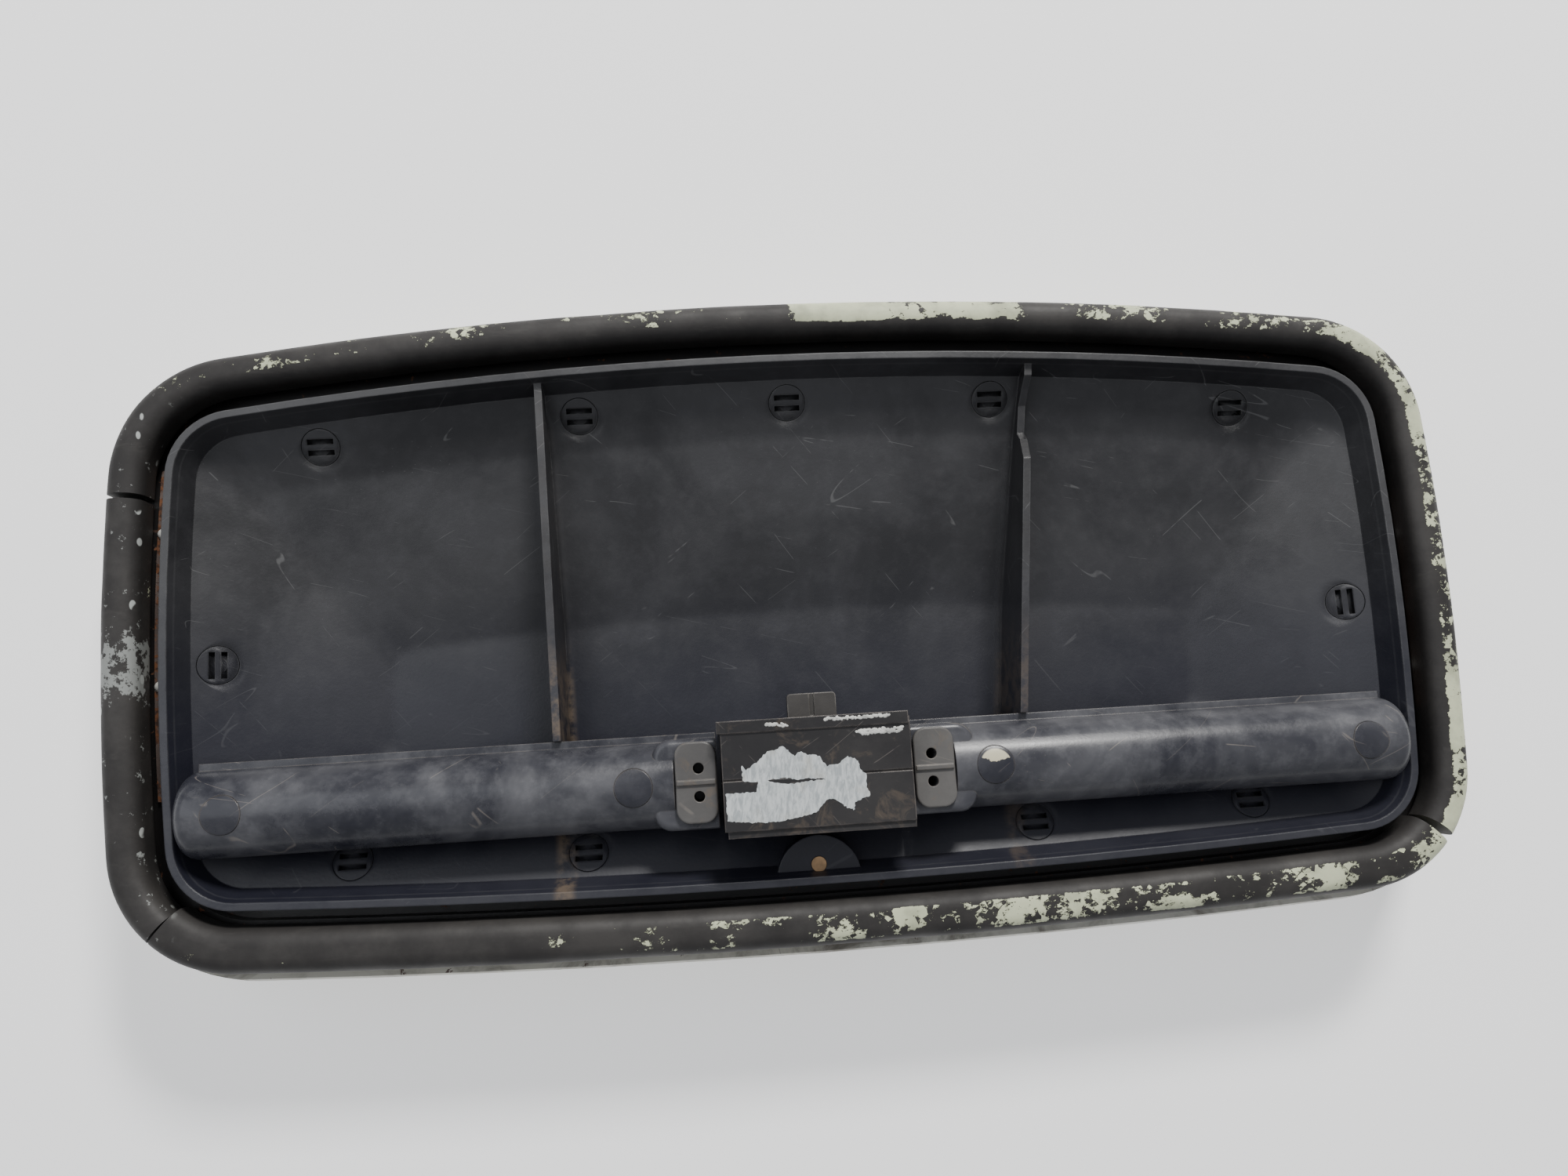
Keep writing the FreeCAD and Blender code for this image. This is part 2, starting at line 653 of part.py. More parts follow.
def latch_cover():
    """Face plate of the latch with a lip at each edge, a middle seam and four blind screw holes."""
    top = CASE_TOP + COVER_THICK
    plate = box((-CASE_HALF_X, CASE_HALF_X), CASE_Y, (CASE_TOP, top))
    head_x = (-CASE_HALF_X - 1.2, CASE_HALF_X - 0.4)
    head_lip = box(head_x, (CASE_Y[1], CASE_Y[1] + LIP), (CASE_TOP - 3.2, top + 0.6))
    head_bar = box(head_x, (CASE_Y[1] - 2.2, CASE_Y[1] + LIP), (CASE_TOP, top + 0.6))
    foot_lip = box((-CASE_HALF_X + 1.0, CASE_HALF_X), (CASE_Y[0] - 2.2, CASE_Y[0]),
                   (CASE_TOP - 2.5, top - 0.9))
    body = join([plate, head_lip, head_bar, foot_lip])
    middle = RAIL_Y + 0.5
    body = body.cut(box((-40, 40), (middle - 0.3, middle + 0.3), (top - 0.6, top + 2)))
    for x, y in case_screw_places():
        body = body.cut(rod(CASE_SCREW_R, x, y, (0, top - SCREW_COVER)))
    return body.removeSplitter()


def case_screws():
    """Screws from inside the case's posts into the face plate."""
    screws = []
    for x, y in case_screw_places():
        tip = CASE_TOP + COVER_THICK - SCREW_COVER - 0.1
        screws.append(rod(CASE_SCREW_R - 0.02, x, y, (CASE_DECK + 5, tip)))
    return Part.makeCompound(screws)


def slanted(face_y, thick_y, z, half_x):
    """A slab that leans 45 degrees, with its lower face at face_y where it meets the blade's top."""
    low, high = z
    foot, head = face_y - BLADE_TOP + low, face_y - BLADE_TOP + high
    points = [V(-half_x, foot, low), V(-half_x, head, high), V(-half_x, head + thick_y, high),
              V(-half_x, foot + thick_y, low)]
    return Part.Face(Part.makePolygon(points + points[:1])).extrude(V(2 * half_x, 0, 0))


def latch_bolt():
    """Flat sliding bolt with a grooved thumb tab and a slanted window."""
    bar = box((-BOLT_HALF_X, BOLT_HALF_X), (BOLT_TAIL_Y, BOLT_TIP_Y), BOLT_Z)
    tip = [e for e in bar.Edges if e.BoundBox.YMin > BOLT_TIP_Y - SLACK and e.BoundBox.ZLength > 1]
    bar = bar.makeFillet(1.2, tip)
    gap_y = BLADE_GAP * math.sqrt(2)
    window = slanted(BLADE_FACE_Y - gap_y, BLADE_THICK_Y + 2 * gap_y, (BOLT_Z[0] - PAST, BOLT_Z[1] + PAST),
                     BLADE_HALF_X + 2 * BLADE_GAP)
    groove = box((-0.8, 0.8), (CASE_Y[1] + LIP + 0.3, BOLT_TIP_Y + PAST), (BOLT_Z[1] - 0.8, BOLT_Z[1] + PAST))
    return bar.cut(window).cut(groove).removeSplitter()


def plunger():
    """Push rod whose slanted blade carries the bolt back and forth."""
    shaft = rod(ROD_R, 0, BUTTON_Y, (BUTTON_Z[1], HEAD_Z[0]))
    shaft = shaft.cut(tube(ROD_R + PAST, ROD_R - CLIP_GROOVE, 0, BUTTON_Y, CLIP_Z))
    foot = BLADE_FACE_Y - BLADE_TOP + HEAD_Z[1]
    head = box((-BLADE_HALF_X, BLADE_HALF_X), (foot, BUTTON_Y + ROD_R), HEAD_Z)
    blade = slanted(BLADE_FACE_Y, BLADE_THICK_Y, (HEAD_Z[1], BLADE_TOP), BLADE_HALF_X)
    return join([shaft, head, blade])


def plunger_clip():
    """Open ring that stops the push rod from dropping out."""
    clip = tube(CLIP_R, ROD_R - CLIP_GROOVE, 0, BUTTON_Y, CLIP_Z)
    mouth = box((-3.2, 3.2), (BUTTON_Y, BUTTON_Y + CLIP_R + PAST), CLIP_Z)
    return clip.cut(mouth)


def push_button():
    """Round button with a shallow dished face."""
    body = rod(BUTTON_R, 0, BUTTON_Y, BUTTON_Z)
    rim = [e for e in body.Edges if e.BoundBox.ZMax < BUTTON_Z[0] + SLACK]
    body = body.makeFillet(0.8, rim)
    hollow = Part.makeSphere(THUMB_RADIUS, V(0, BUTTON_Y, BUTTON_Z[0] - THUMB_RADIUS + THUMB_DEPTH))
    return body.cut(hollow)


def button_bezel():
    """Flanged sleeve in the cover that guides the button, with a ledge around the push rod."""
    sleeve = tube(BEZEL_R, BUTTON_R + BUTTON_GAP, 0, BUTTON_Y, (0, BEZEL_TOP))
    flange = tube(BEZEL_FLANGE_R, BUTTON_R + BUTTON_GAP, 0, BUTTON_Y, (0, FLANGE_THICK))
    ledge = tube(BEZEL_R, ROD_R + FIT, 0, BUTTON_Y, (BEZEL_TOP - LEDGE, BEZEL_TOP))
    return join([sleeve, flange, ledge])


def bezel_gasket():
    """Flat rubber ring between the cover and the bezel's nut."""
    return tube(BEZEL_FLANGE_R, BEZEL_R + 0.05, 0, BUTTON_Y, (COVER_WALL, COVER_WALL + GASKET_THICK))


def bezel_nut():
    """Hexagon ring nut that clamps the bezel."""
    low, high = COVER_WALL + GASKET_THICK, COVER_WALL + GASKET_THICK + BEZEL_NUT_THICK
    corners = [V(0, BUTTON_Y, low).add(V(math.cos(a), math.sin(a), 0).multiply(BEZEL_NUT_R))
               for a in [math.radians(60 * i) for i in range(6)]]
    body = Part.Face(Part.makePolygon(corners + corners[:1])).extrude(V(0, 0, high - low))
    return body.cut(rod(BEZEL_R + 0.05, 0, BUTTON_Y, (0, high + PAST)))


def stud_nuts():
    """Round nuts under the frame's shelf, one on each stud's shank."""
    nuts = [tube(NUT_R, STUD_SHANK_R + 0.05, x, y, (Z_SHELF - NUT_THICK, Z_SHELF))
            for x, y, _ in stud_places()]
    return Part.makeCompound(nuts)


def coil(radius, wire_r, turns, length):
    """An upright helical compression spring that stands on the origin."""
    height = length - 2 * wire_r
    helix = Part.makeHelix(height / turns, height, radius)
    section = Part.Wire(Part.makeCircle(wire_r, V(radius, 0, 0), Y_AXIS))
    body = Part.Wire(helix.Edges).makePipeShell([section], True, True)
    body.translate(V(0, 0, wire_r))
    return body


def button_spring():
    """Spring between the button and the bezel's ledge."""
    length = BEZEL_TOP - LEDGE - BUTTON_Z[1] - 2 * SPRING_END_GAP
    spring = coil(SPRING_R, SPRING_WIRE_R, SPRING_TURNS, length)
    spring.translate(V(0, BUTTON_Y, BUTTON_Z[1] + SPRING_END_GAP))
    return spring


def parts():
    """Every node by name."""
    rail = grab_rail()
    pad = mounting_pad()
    left_strip, right_strip, strip_rivets = strips()
    nodes = {
        "outer_cover": outer_cover(),
        "carrier_frame": carrier_frame(),
        "frame_rivets": frame_rivets(),
        "inner_pan": inner_pan(),
        "pan_gasket": pan_gasket(),
        "pan_studs": Part.makeCompound([stud(place) for place in stud_places()]),
        "stud_nuts": stud_nuts(),
        "boss_plug": boss_plug(),
        "edge_strip_left": left_strip,
        "edge_strip_right": right_strip,
        "strip_rivets": strip_rivets,
        "grab_rail_right": rail,
        "grab_rail_left": mirror_x(rail),
        "rail_screws": Part.makeCompound([rail_screw(x) for x, _ in screw_places()]),
        "rail_caps": Part.makeCompound([rail_cap(x) for x, _ in screw_places()]),
        "mounting_pad_right": pad,
        "mounting_pad_left": mirror_x(pad),
        "latch_case": latch_case(),
        "latch_cover": latch_cover(),
        "case_screws": case_screws(),
        "latch_bolt": latch_bolt(),
        "push_button": push_button(),
        "plunger": plunger(),
        "plunger_clip": plunger_clip(),
        "button_spring": button_spring(),
        "button_bezel": button_bezel(),
        "bezel_gasket": bezel_gasket(),
        "bezel_nut": bezel_nut(),
    }
    nodes.update(seal_lengths())
    return nodes


os.makedirs("parts", exist_ok=True)
for name, shape in parts().items():
    print(name, shape.isValid(), len(shape.Solids), round(shape.Volume))
    shape.exportStep("parts/" + name + ".step")
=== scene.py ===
"""Looks of a rubber-sealed hatch leaf: seal, moulded pan, grab rail, latch and weathered outer cover."""

from __future__ import annotations

import json
import logging
import math
import random
from dataclasses import dataclass, field
from enum import Enum
from typing import Any, Sequence

import bpy
from mathutils import Matrix, Vector

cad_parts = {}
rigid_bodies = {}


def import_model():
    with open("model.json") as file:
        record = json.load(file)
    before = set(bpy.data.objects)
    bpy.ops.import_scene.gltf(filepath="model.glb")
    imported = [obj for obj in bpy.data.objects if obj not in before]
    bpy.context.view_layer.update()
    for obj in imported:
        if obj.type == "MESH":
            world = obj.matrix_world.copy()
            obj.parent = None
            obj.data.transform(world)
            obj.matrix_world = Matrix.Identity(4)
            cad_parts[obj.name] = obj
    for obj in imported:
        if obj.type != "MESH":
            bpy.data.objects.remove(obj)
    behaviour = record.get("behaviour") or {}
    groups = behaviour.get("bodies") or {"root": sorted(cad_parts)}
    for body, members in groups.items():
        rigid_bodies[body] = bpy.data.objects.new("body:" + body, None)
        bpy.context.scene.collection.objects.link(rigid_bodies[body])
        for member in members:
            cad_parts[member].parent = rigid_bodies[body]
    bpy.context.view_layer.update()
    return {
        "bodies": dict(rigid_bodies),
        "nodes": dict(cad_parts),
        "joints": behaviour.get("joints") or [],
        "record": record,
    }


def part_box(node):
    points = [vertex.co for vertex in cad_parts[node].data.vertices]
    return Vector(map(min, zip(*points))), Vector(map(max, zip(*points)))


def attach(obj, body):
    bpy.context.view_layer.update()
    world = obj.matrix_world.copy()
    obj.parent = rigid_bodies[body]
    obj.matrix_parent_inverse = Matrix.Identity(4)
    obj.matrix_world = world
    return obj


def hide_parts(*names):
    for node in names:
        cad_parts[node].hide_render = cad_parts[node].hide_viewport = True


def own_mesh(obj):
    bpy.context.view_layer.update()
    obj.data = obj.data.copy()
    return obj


LOG = logging.getLogger("hatch_leaf")
MM = 0.001
Colour = tuple[float, float, float]
Point = tuple[float, float, float]

# Sockets of a colour Mix node, whose inputs share names with its number and vector forms.
MIX_FACTOR, MIX_FIRST, MIX_SECOND, MIX_RESULT = 0, 6, 7, 2


class Body(Enum):
    """The rigid bodies that the added pieces ride on."""

    LEAF = "leaf"
    BUTTON = "button"


class Grain(Enum):
    """How a metal's surface was left."""

    ROLLED = "rolled"
    RUSTED = "rusted"


# ---------------------------------------------------------------- shader building


class Shader:
    """A material under construction, with short calls for its nodes."""

    def __init__(self, name: str) -> None:
        """Start an empty material with one principled surface.

        Args:
            name: The material's name.
        """
        self.material = bpy.data.materials.new(name)
        self.material.use_nodes = True
        self.tree = self.material.node_tree
        self.surface = self.tree.nodes["Principled BSDF"]
        self.place = self.node("ShaderNodeTexCoord").outputs["Object"]

    def node(self, kind: str, **settings: Any) -> bpy.types.Node:
        """Add a node.

        Args:
            kind: The node's type.
            **settings: Its plain properties.

        Returns:
            The new node.
        """
        made = self.tree.nodes.new(kind)
        for key, value in settings.items():
            setattr(made, key, value)
        return made

    def plug(self, socket: Any, value: Any) -> None:
        """Link a socket to another, or set its value.

        Args:
            socket: The input socket.
            value: An output socket, a number, or three numbers.
        """
        if isinstance(value, bpy.types.NodeSocket):
            self.tree.links.new(value, socket)
        elif isinstance(value, tuple) and len(value) == 3 and socket.type == "RGBA":
            socket.default_value = (*value, 1.0)
        else:
            socket.default_value = value

    def math(self, operation: str, a: Any, b: Any = 0.0) -> Any:
        """Take one arithmetic step.

        Args:
            operation: The step's name.
            a: First number or socket.
            b: Second number or socket, where the step has one.

        Returns:
            The result's socket.
        """
        made = self.node("ShaderNodeMath", operation=operation)
        self.plug(made.inputs[0], a)
        self.plug(made.inputs[1], b)
        return made.outputs[0]

    def shifted(self, offset: Point, stretch: Point = (1.0, 1.0, 1.0), turn: float = 0.0) -> Any:
        """Object coordinates moved, stretched and turned about Z.

        Args:
            offset: Shift in metres.
            stretch: Scale along each axis.
            turn: Turn about Z in degrees.

        Returns:
            The changed coordinates.
        """
        made = self.node("ShaderNodeMapping", vector_type="TEXTURE")
        self.plug(made.inputs["Vector"], self.place)
        self.plug(made.inputs["Location"], offset)
        self.plug(made.inputs["Rotation"], (0.0, 0.0, math.radians(turn)))
        self.plug(made.inputs["Scale"], tuple(1.0 / share for share in stretch))
        return made.outputs[0]

    def noise(self, scale: float, detail: float = 3.0, rough: float = 0.5, warp: float = 0.0,
              at: Any = None) -> Any:
        """Make soft noise from 0 to 1.

        Args:
            scale: Noise features per metre.
            detail: How many finer layers it has.
            rough: How strong the finer layers are.
            warp: How far it is distorted.
            at: Coordinates, where they aren't the object's own.

        Returns:
            The noise's socket.
        """
        made = self.node("ShaderNodeTexNoise")
        self.plug(made.inputs["Vector"], at or self.place)
        self.plug(made.inputs["Scale"], scale)
        self.plug(made.inputs["Detail"], detail)
        self.plug(made.inputs["Roughness"], rough)
        self.plug(made.inputs["Distortion"], warp)
        return made.outputs[0]

    def cells(self, scale: float, at: Any = None, part: str = "Distance") -> Any:
        """Make a pattern of cells.

        Args:
            scale: Cells per metre.
            at: Coordinates, where they aren't the object's own.
            part: Distance, to the cell's middle, or Color, the cell's own tone.

        Returns:
            The pattern's socket.
        """
        made = self.node("ShaderNodeTexVoronoi")
        self.plug(made.inputs["Vector"], at or self.place)
        self.plug(made.inputs["Scale"], scale)
        return made.outputs[part]

    def step(self, value: Any, low: float, high: float, low_to: float = 0.0, high_to: float = 1.0) -> Any:
        """Make a smooth, clamped step between two values.

        Args:
            value: What is stepped.
            low: Where the step starts.
            high: Where it ends.
            low_to: The result up to low.
            high_to: The result from high on.

        Returns:
            The step's socket.
        """
        made = self.node("ShaderNodeMapRange", interpolation_type="SMOOTHSTEP")
        self.plug(made.inputs["Value"], value)
        self.plug(made.inputs["From Min"], low)
        self.plug(made.inputs["From Max"], high)
        self.plug(made.inputs["To Min"], low_to)
        self.plug(made.inputs["To Max"], high_to)
        return made.outputs[0]

    def band(self, value: Any, low: float, high: float, soft: float) -> Any:
        """Make a band: 1 between two values, falling to 0 outside them.

        Args:
            value: What is tested.
            low: The band's lower end.
            high: Its upper end.
            soft: The width over which it falls.

        Returns:
            The band's socket.
        """
        rise = self.step(value, low - soft, low)
        fall = self.step(value, high, high + soft, 1.0, 0.0)
        return self.math("MULTIPLY", rise, fall)

    def mix(self, factor: Any, a: Any, b: Any) -> Any:
        """Mix two colours.

        Args:
            factor: The second colour's share.
            a: First colour.
            b: Second colour.

        Returns:
            The mixed colour's socket.
        """
        made = self.node("ShaderNodeMix", data_type="RGBA")
        self.plug(made.inputs[MIX_FACTOR], factor)
        self.plug(made.inputs[MIX_FIRST], a)
        self.plug(made.inputs[MIX_SECOND], b)
        return made.outputs[MIX_RESULT]

    def axes(self) -> tuple[Any, Any, Any]:
        """Object coordinates as three numbers."""
        made = self.node("ShaderNodeSeparateXYZ")
        self.plug(made.inputs[0], self.place)
        return made.outputs[0], made.outputs[1], made.outputs[2]

    def facing(self) -> tuple[Any, Any, Any]:
        """The surface's direction as three numbers."""
        made = self.node("ShaderNodeSeparateXYZ")
        self.plug(made.inputs[0], self.node("ShaderNodeTexCoord").outputs["Normal"])
        return made.outputs[0], made.outputs[1], made.outputs[2]

    def soft_edges(self, radius: Any) -> Any:
        """Round the surface's hard edges.

        Args:
            radius: How far from an edge the rounding reaches, in metres.

        Returns:
            The rounded direction's socket.
        """
        made = self.node("ShaderNodeBevel", samples=4)
        self.plug(made.inputs["Radius"], radius)
        return made.outputs[0]

    def edges(self, radius: float, low: float = 0.01, high: float = 0.12) -> Any:
        """Find hard edges.

        Args:
            radius: How far from an edge it reaches, in metres.
            low: Turn of the surface below which nothing shows.
            high: Turn of the surface from which an edge is full.

        Returns:
            A socket that is 1 along hard edges and 0 away from them.
        """
        dot = self.node("ShaderNodeVectorMath", operation="DOT_PRODUCT")
        self.plug(dot.inputs[0], self.soft_edges(radius))
        self.plug(dot.inputs[1], self.node("ShaderNodeNewGeometry").outputs["Normal"])
        return self.step(self.math("SUBTRACT", 1.0, dot.outputs["Value"]), low, high)

    def scratches(self, scale: float, width: float, turn: float, offset: float, keep: float = 0.56) -> Any:
        """Thin broken lines that wander across a surface.

        Args:
            scale: Lines per metre, roughly.
            width: Share of the pattern that one line takes.
            turn: Direction of the lines in degrees.
            offset: Shift that makes one set differ from the next.
            keep: Noise level above which a line shows.

        Returns:
            1 on a scratch, 0 off it.
        """
        at = self.shifted((offset, offset * 0.7, 0.0), (1.0, 0.055, 0.3), turn)
        line = self.math("ABSOLUTE", self.math("SUBTRACT", self.noise(scale, 1.0, 0.4, 0.0, at), 0.5))
        drawn = self.step(line, width * 0.3, width, 1.0, 0.0)
        gap_noise = self.noise(55.0, 3.0, 0.6, 0.0, self.shifted((offset * 3, 0.4, offset)))
        gaps = self.step(gap_noise, keep, keep + 0.05)
        return self.math("MULTIPLY", drawn, gaps)

    def bump(self, height: Any, depth: float, strength: float = 1.0, normal: Any = None) -> Any:
        """Disturb the surface's direction by a height pattern.

        Args:
            height: The pattern.
            depth: Its height in metres.
            strength: Share of it that shows.
            normal: The direction to disturb, where it isn't the surface's own.

        Returns:
            The disturbed direction's socket.
        """
        made = self.node("ShaderNodeBump")
        self.plug(made.inputs["Strength"], strength)
        self.plug(made.inputs["Distance"], depth)
        self.plug(made.inputs["Height"], height)
        if normal is not None:
            self.plug(made.inputs["Normal"], normal)
        return made.outputs[0]

    def finish(self, colour: Any, rough: Any, normal: Any = None, metal: Any = 0.0,
               **fixed: Any) -> bpy.types.Material:
        """Connect the principled surface.

        Args:
            colour: Base colour.
            rough: Roughness.
            normal: Disturbed direction, if there is one.
            metal: Metallic share.
            **fixed: Constant sockets by name, with underscores for spaces.

        Returns:
            The finished material.
        """
        self.plug(self.surface.inputs["Base Color"], colour)
        self.plug(self.surface.inputs["Roughness"], rough)
        self.plug(self.surface.inputs["Metallic"], metal)
        if normal is not None:
            self.plug(self.surface.inputs["Normal"], normal)
        for key, value in fixed.items():
            self.surface.inputs[key.replace("_", " ")].default_value = value
        return self.material


# ---------------------------------------------------------------- finishes


@dataclass(frozen=True)
class MouldedPlastic:
    """Dark moulded plastic with haze, scratches and worn edges."""

    name: str
    deep: Colour
    haze: Colour
    worn: Colour
    rough: float
    haze_share: float = 0.5
    scratch_share: float = 0.5
    edge_share: float = 0.6
    edge_radius: float = 0.0006
    dirt: Colour = (0.16, 0.12, 0.085)
    dirt_share: float = 0.0

    def shader(self) -> tuple[Shader, Any, Any]:
        """Start the material.

        Returns:
            The shader, its colour so far and its roughness so far.
        """
        s = Shader(self.name)
        cloud = s.step(s.noise(17.0, 5.0, 0.62, 0.4), 0.36, 0.68)
        dust = s.step(s.noise(160.0, 4.0, 0.7), 0.42, 0.72)
        both = s.math("ADD", s.math("MULTIPLY", cloud, 0.75), s.math("MULTIPLY", dust, 0.25))
        film = s.math("MULTIPLY", both, self.haze_share)
        colour = s.mix(film, self.deep, self.haze)
        marks = s.math("MAXIMUM", s.scratches(60.0, 0.0035, 40.0, 0.31),
                       s.scratches(75.0, 0.003, -55.0, 0.77))
        marks = s.math("MAXIMUM", marks, s.scratches(110.0, 0.004, 75.0, 1.9))
        marks = s.math("MULTIPLY", marks, self.scratch_share)
        colour = s.mix(marks, colour, self.worn)
        specks = s.step(s.cells(420.0), 0.05, 0.09, 1.0, 0.0)
        specks = s.math("MULTIPLY", specks, s.step(s.noise(24.0, 2.0), 0.56, 0.66))
        colour = s.mix(s.math("MULTIPLY", specks, 0.35 * self.haze_share), colour, self.worn)
        if self.dirt_share > 0.0:
            grime = s.step(s.noise(95.0, 6.0, 0.7, 0.8), 0.54, 0.68)
            colour = s.mix(s.math("MULTIPLY", grime, self.dirt_share), colour, self.dirt)
        patchy = s.step(s.noise(130.0, 4.0, 0.65), 0.36, 0.6, 0.25, 1.0)
        wear = s.math("MULTIPLY", s.edges(self.edge_radius), patchy)
        colour = s.mix(s.math("MULTIPLY", wear, self.edge_share), colour, self.worn)
        rough = s.math("ADD", self.rough, s.math("MULTIPLY", film, 0.22))
        return s, colour, rough

    def surface_normal(self, s: Shader, depth: float = 0.00004) -> Any:
        """Fine moulding grain with a few shallow waves, over rounded edges."""
        grain = s.noise(900.0, 2.0, 0.5)
        waves = s.math("MULTIPLY", s.noise(38.0, 2.0, 0.5), 5.0)
        return s.bump(s.math("ADD", grain, waves), depth, 0.6, s.soft_edges(self.edge_radius))

    def material(self) -> bpy.types.Material:
        """The finished material."""
        s, colour, rough = self.shader()
        return s.finish(colour, rough, self.surface_normal(s), Specular_IOR_Level=0.45)


@dataclass(frozen=True)
class PanPlastic(MouldedPlastic):
    """The pan's plastic: darker and bluer low down, which is a painted shade; greyer near the arch, worn
    along the rim and ribs.
    """

    rim_top: float = 50.0 * MM
    rib_top: float = 47.0 * MM
    rib_head_x: float = 86.5 * MM
    left_rib_foot_x: float = -84.0 * MM
    right_rib_foot_x: float = 73.0 * MM
    rib_foot_y: float = -38.5 * MM
    rib_head_y: float = 88.0 * MM
    shade_blue: Colour = (0.011, 0.012, 0.023)
    wall_foot: float = 39.0 * MM

    def rib_lines(self, s: Shader) -> Any:
        """1 within a few millimetres of either rib's line."""
        x, y, _ = s.axes()
        share = s.math("DIVIDE", s.math("SUBTRACT", y, self.rib_foot_y), self.rib_head_y - self.rib_foot_y)
        near = None
        for foot_x, head_x in ((self.left_rib_foot_x, -self.rib_head_x),
                               (self.right_rib_foot_x, self.rib_head_x)):
            line = s.math("ADD", foot_x, s.math("MULTIPLY", share, head_x - foot_x))
            gap = s.math("ABSOLUTE", s.math("SUBTRACT", x, line))
            here = s.step(gap, 1.6 * MM, 4.5 * MM, 1.0, 0.0)
            near = here if near is None else s.math("MAXIMUM", near, here)
        return near

    def material(self) -> bpy.types.Material:
        """The finished material."""
        s, colour, rough = self.shader()
        _, y, z = s.axes()
        # Painted shade: a darker, bluer tone mixed in over the pan's lower half, towards the rail and the
        # foot.
        painted_shade_low_down = s.step(y, -40 * MM, 30 * MM, 1.0, 0.0)
        colour = s.mix(s.math("MULTIPLY", painted_shade_low_down, 0.7), colour, self.shade_blue)
        lip = s.step(z, self.rim_top - 0.7 * MM, self.rim_top - 0.25 * MM)
        rib_edge = s.band(z, self.rib_top - 0.25 * MM, self.rib_top + 0.3 * MM, 0.2 * MM)
        chipped = s.step(s.noise(110.0, 4.0, 0.7), 0.3, 0.62, 0.35, 1.0)
        worn = s.math("MULTIPLY", s.math("MAXIMUM", lip, rib_edge), chipped)
        colour = s.mix(s.math("MULTIPLY", worn, 0.08), colour, self.worn)
        caked = s.math("MULTIPLY", self.rib_lines(s), s.step(y, -26 * MM, 0.0, 1.0, 0.05))
        caked = s.math("MULTIPLY", caked, s.step(s.noise(150.0, 5.0, 0.7), 0.36, 0.62))
        caked = s.math("MULTIPLY", caked, s.step(s.axes()[0], -20 * MM, 20 * MM, 0.75, 0.3))
        colour = s.mix(caked, colour, self.dirt)
        softness = s.step(z, self.wall_foot - 4 * MM, self.wall_foot, 5.0 * MM, 0.6 * MM)
        grain = s.math("ADD", s.noise(900.0, 2.0), s.math("MULTIPLY", s.noise(38.0, 2.0), 5.0))
        normal = s.bump(grain, 0.00006, 0.6, s.soft_edges(softness))
        return s.finish(colour, rough, normal, Specular_IOR_Level=0.5)


@dataclass(frozen=True)
class CapPlastic(MouldedPlastic):
    """The rail's plastic with a crescent of old cream paint on one cap."""

    cream: Colour = (0.62, 0.58, 0.42)
    middle: tuple[float, float] = (59.0 * MM, -55.0 * MM)
    reach: float = 5.4 * MM
    bow: float = 60.0

    def material(self) -> bpy.types.Material:
        """The finished material."""
        s, colour, rough = self.shader()
        x, y, _ = s.axes()
        dx, dy = s.math("SUBTRACT", x, self.middle[0]), s.math("SUBTRACT", y, self.middle[1])
        gap = s.math("SQRT", s.math("ADD", s.math("MULTIPLY", dx, dx), s.math("MULTIPLY", dy, dy)))
        inside = s.step(gap, self.reach - 0.5 * MM, self.reach, 1.0, 0.0)
        bowed = s.math("SUBTRACT", dy, s.math("MULTIPLY", s.math("MULTIPLY", dx, dx), self.bow))
        ragged = s.math("MULTIPLY", s.math("SUBTRACT", s.noise(500.0, 3.0), 0.5), 3.0 * MM)
        upper = s.step(s.math("ADD", bowed, ragged), 1.0 * MM, 1.3 * MM)
        colour = s.mix(s.math("MULTIPLY", inside, upper), colour, self.cream)
        return s.finish(colour, rough, self.surface_normal(s), Specular_IOR_Level=0.45)


@dataclass(frozen=True)
class PaintZone:
    """Where paint is left on one side of the seal, and how much of it."""

    place: Any
    facing: Any
    share: Any


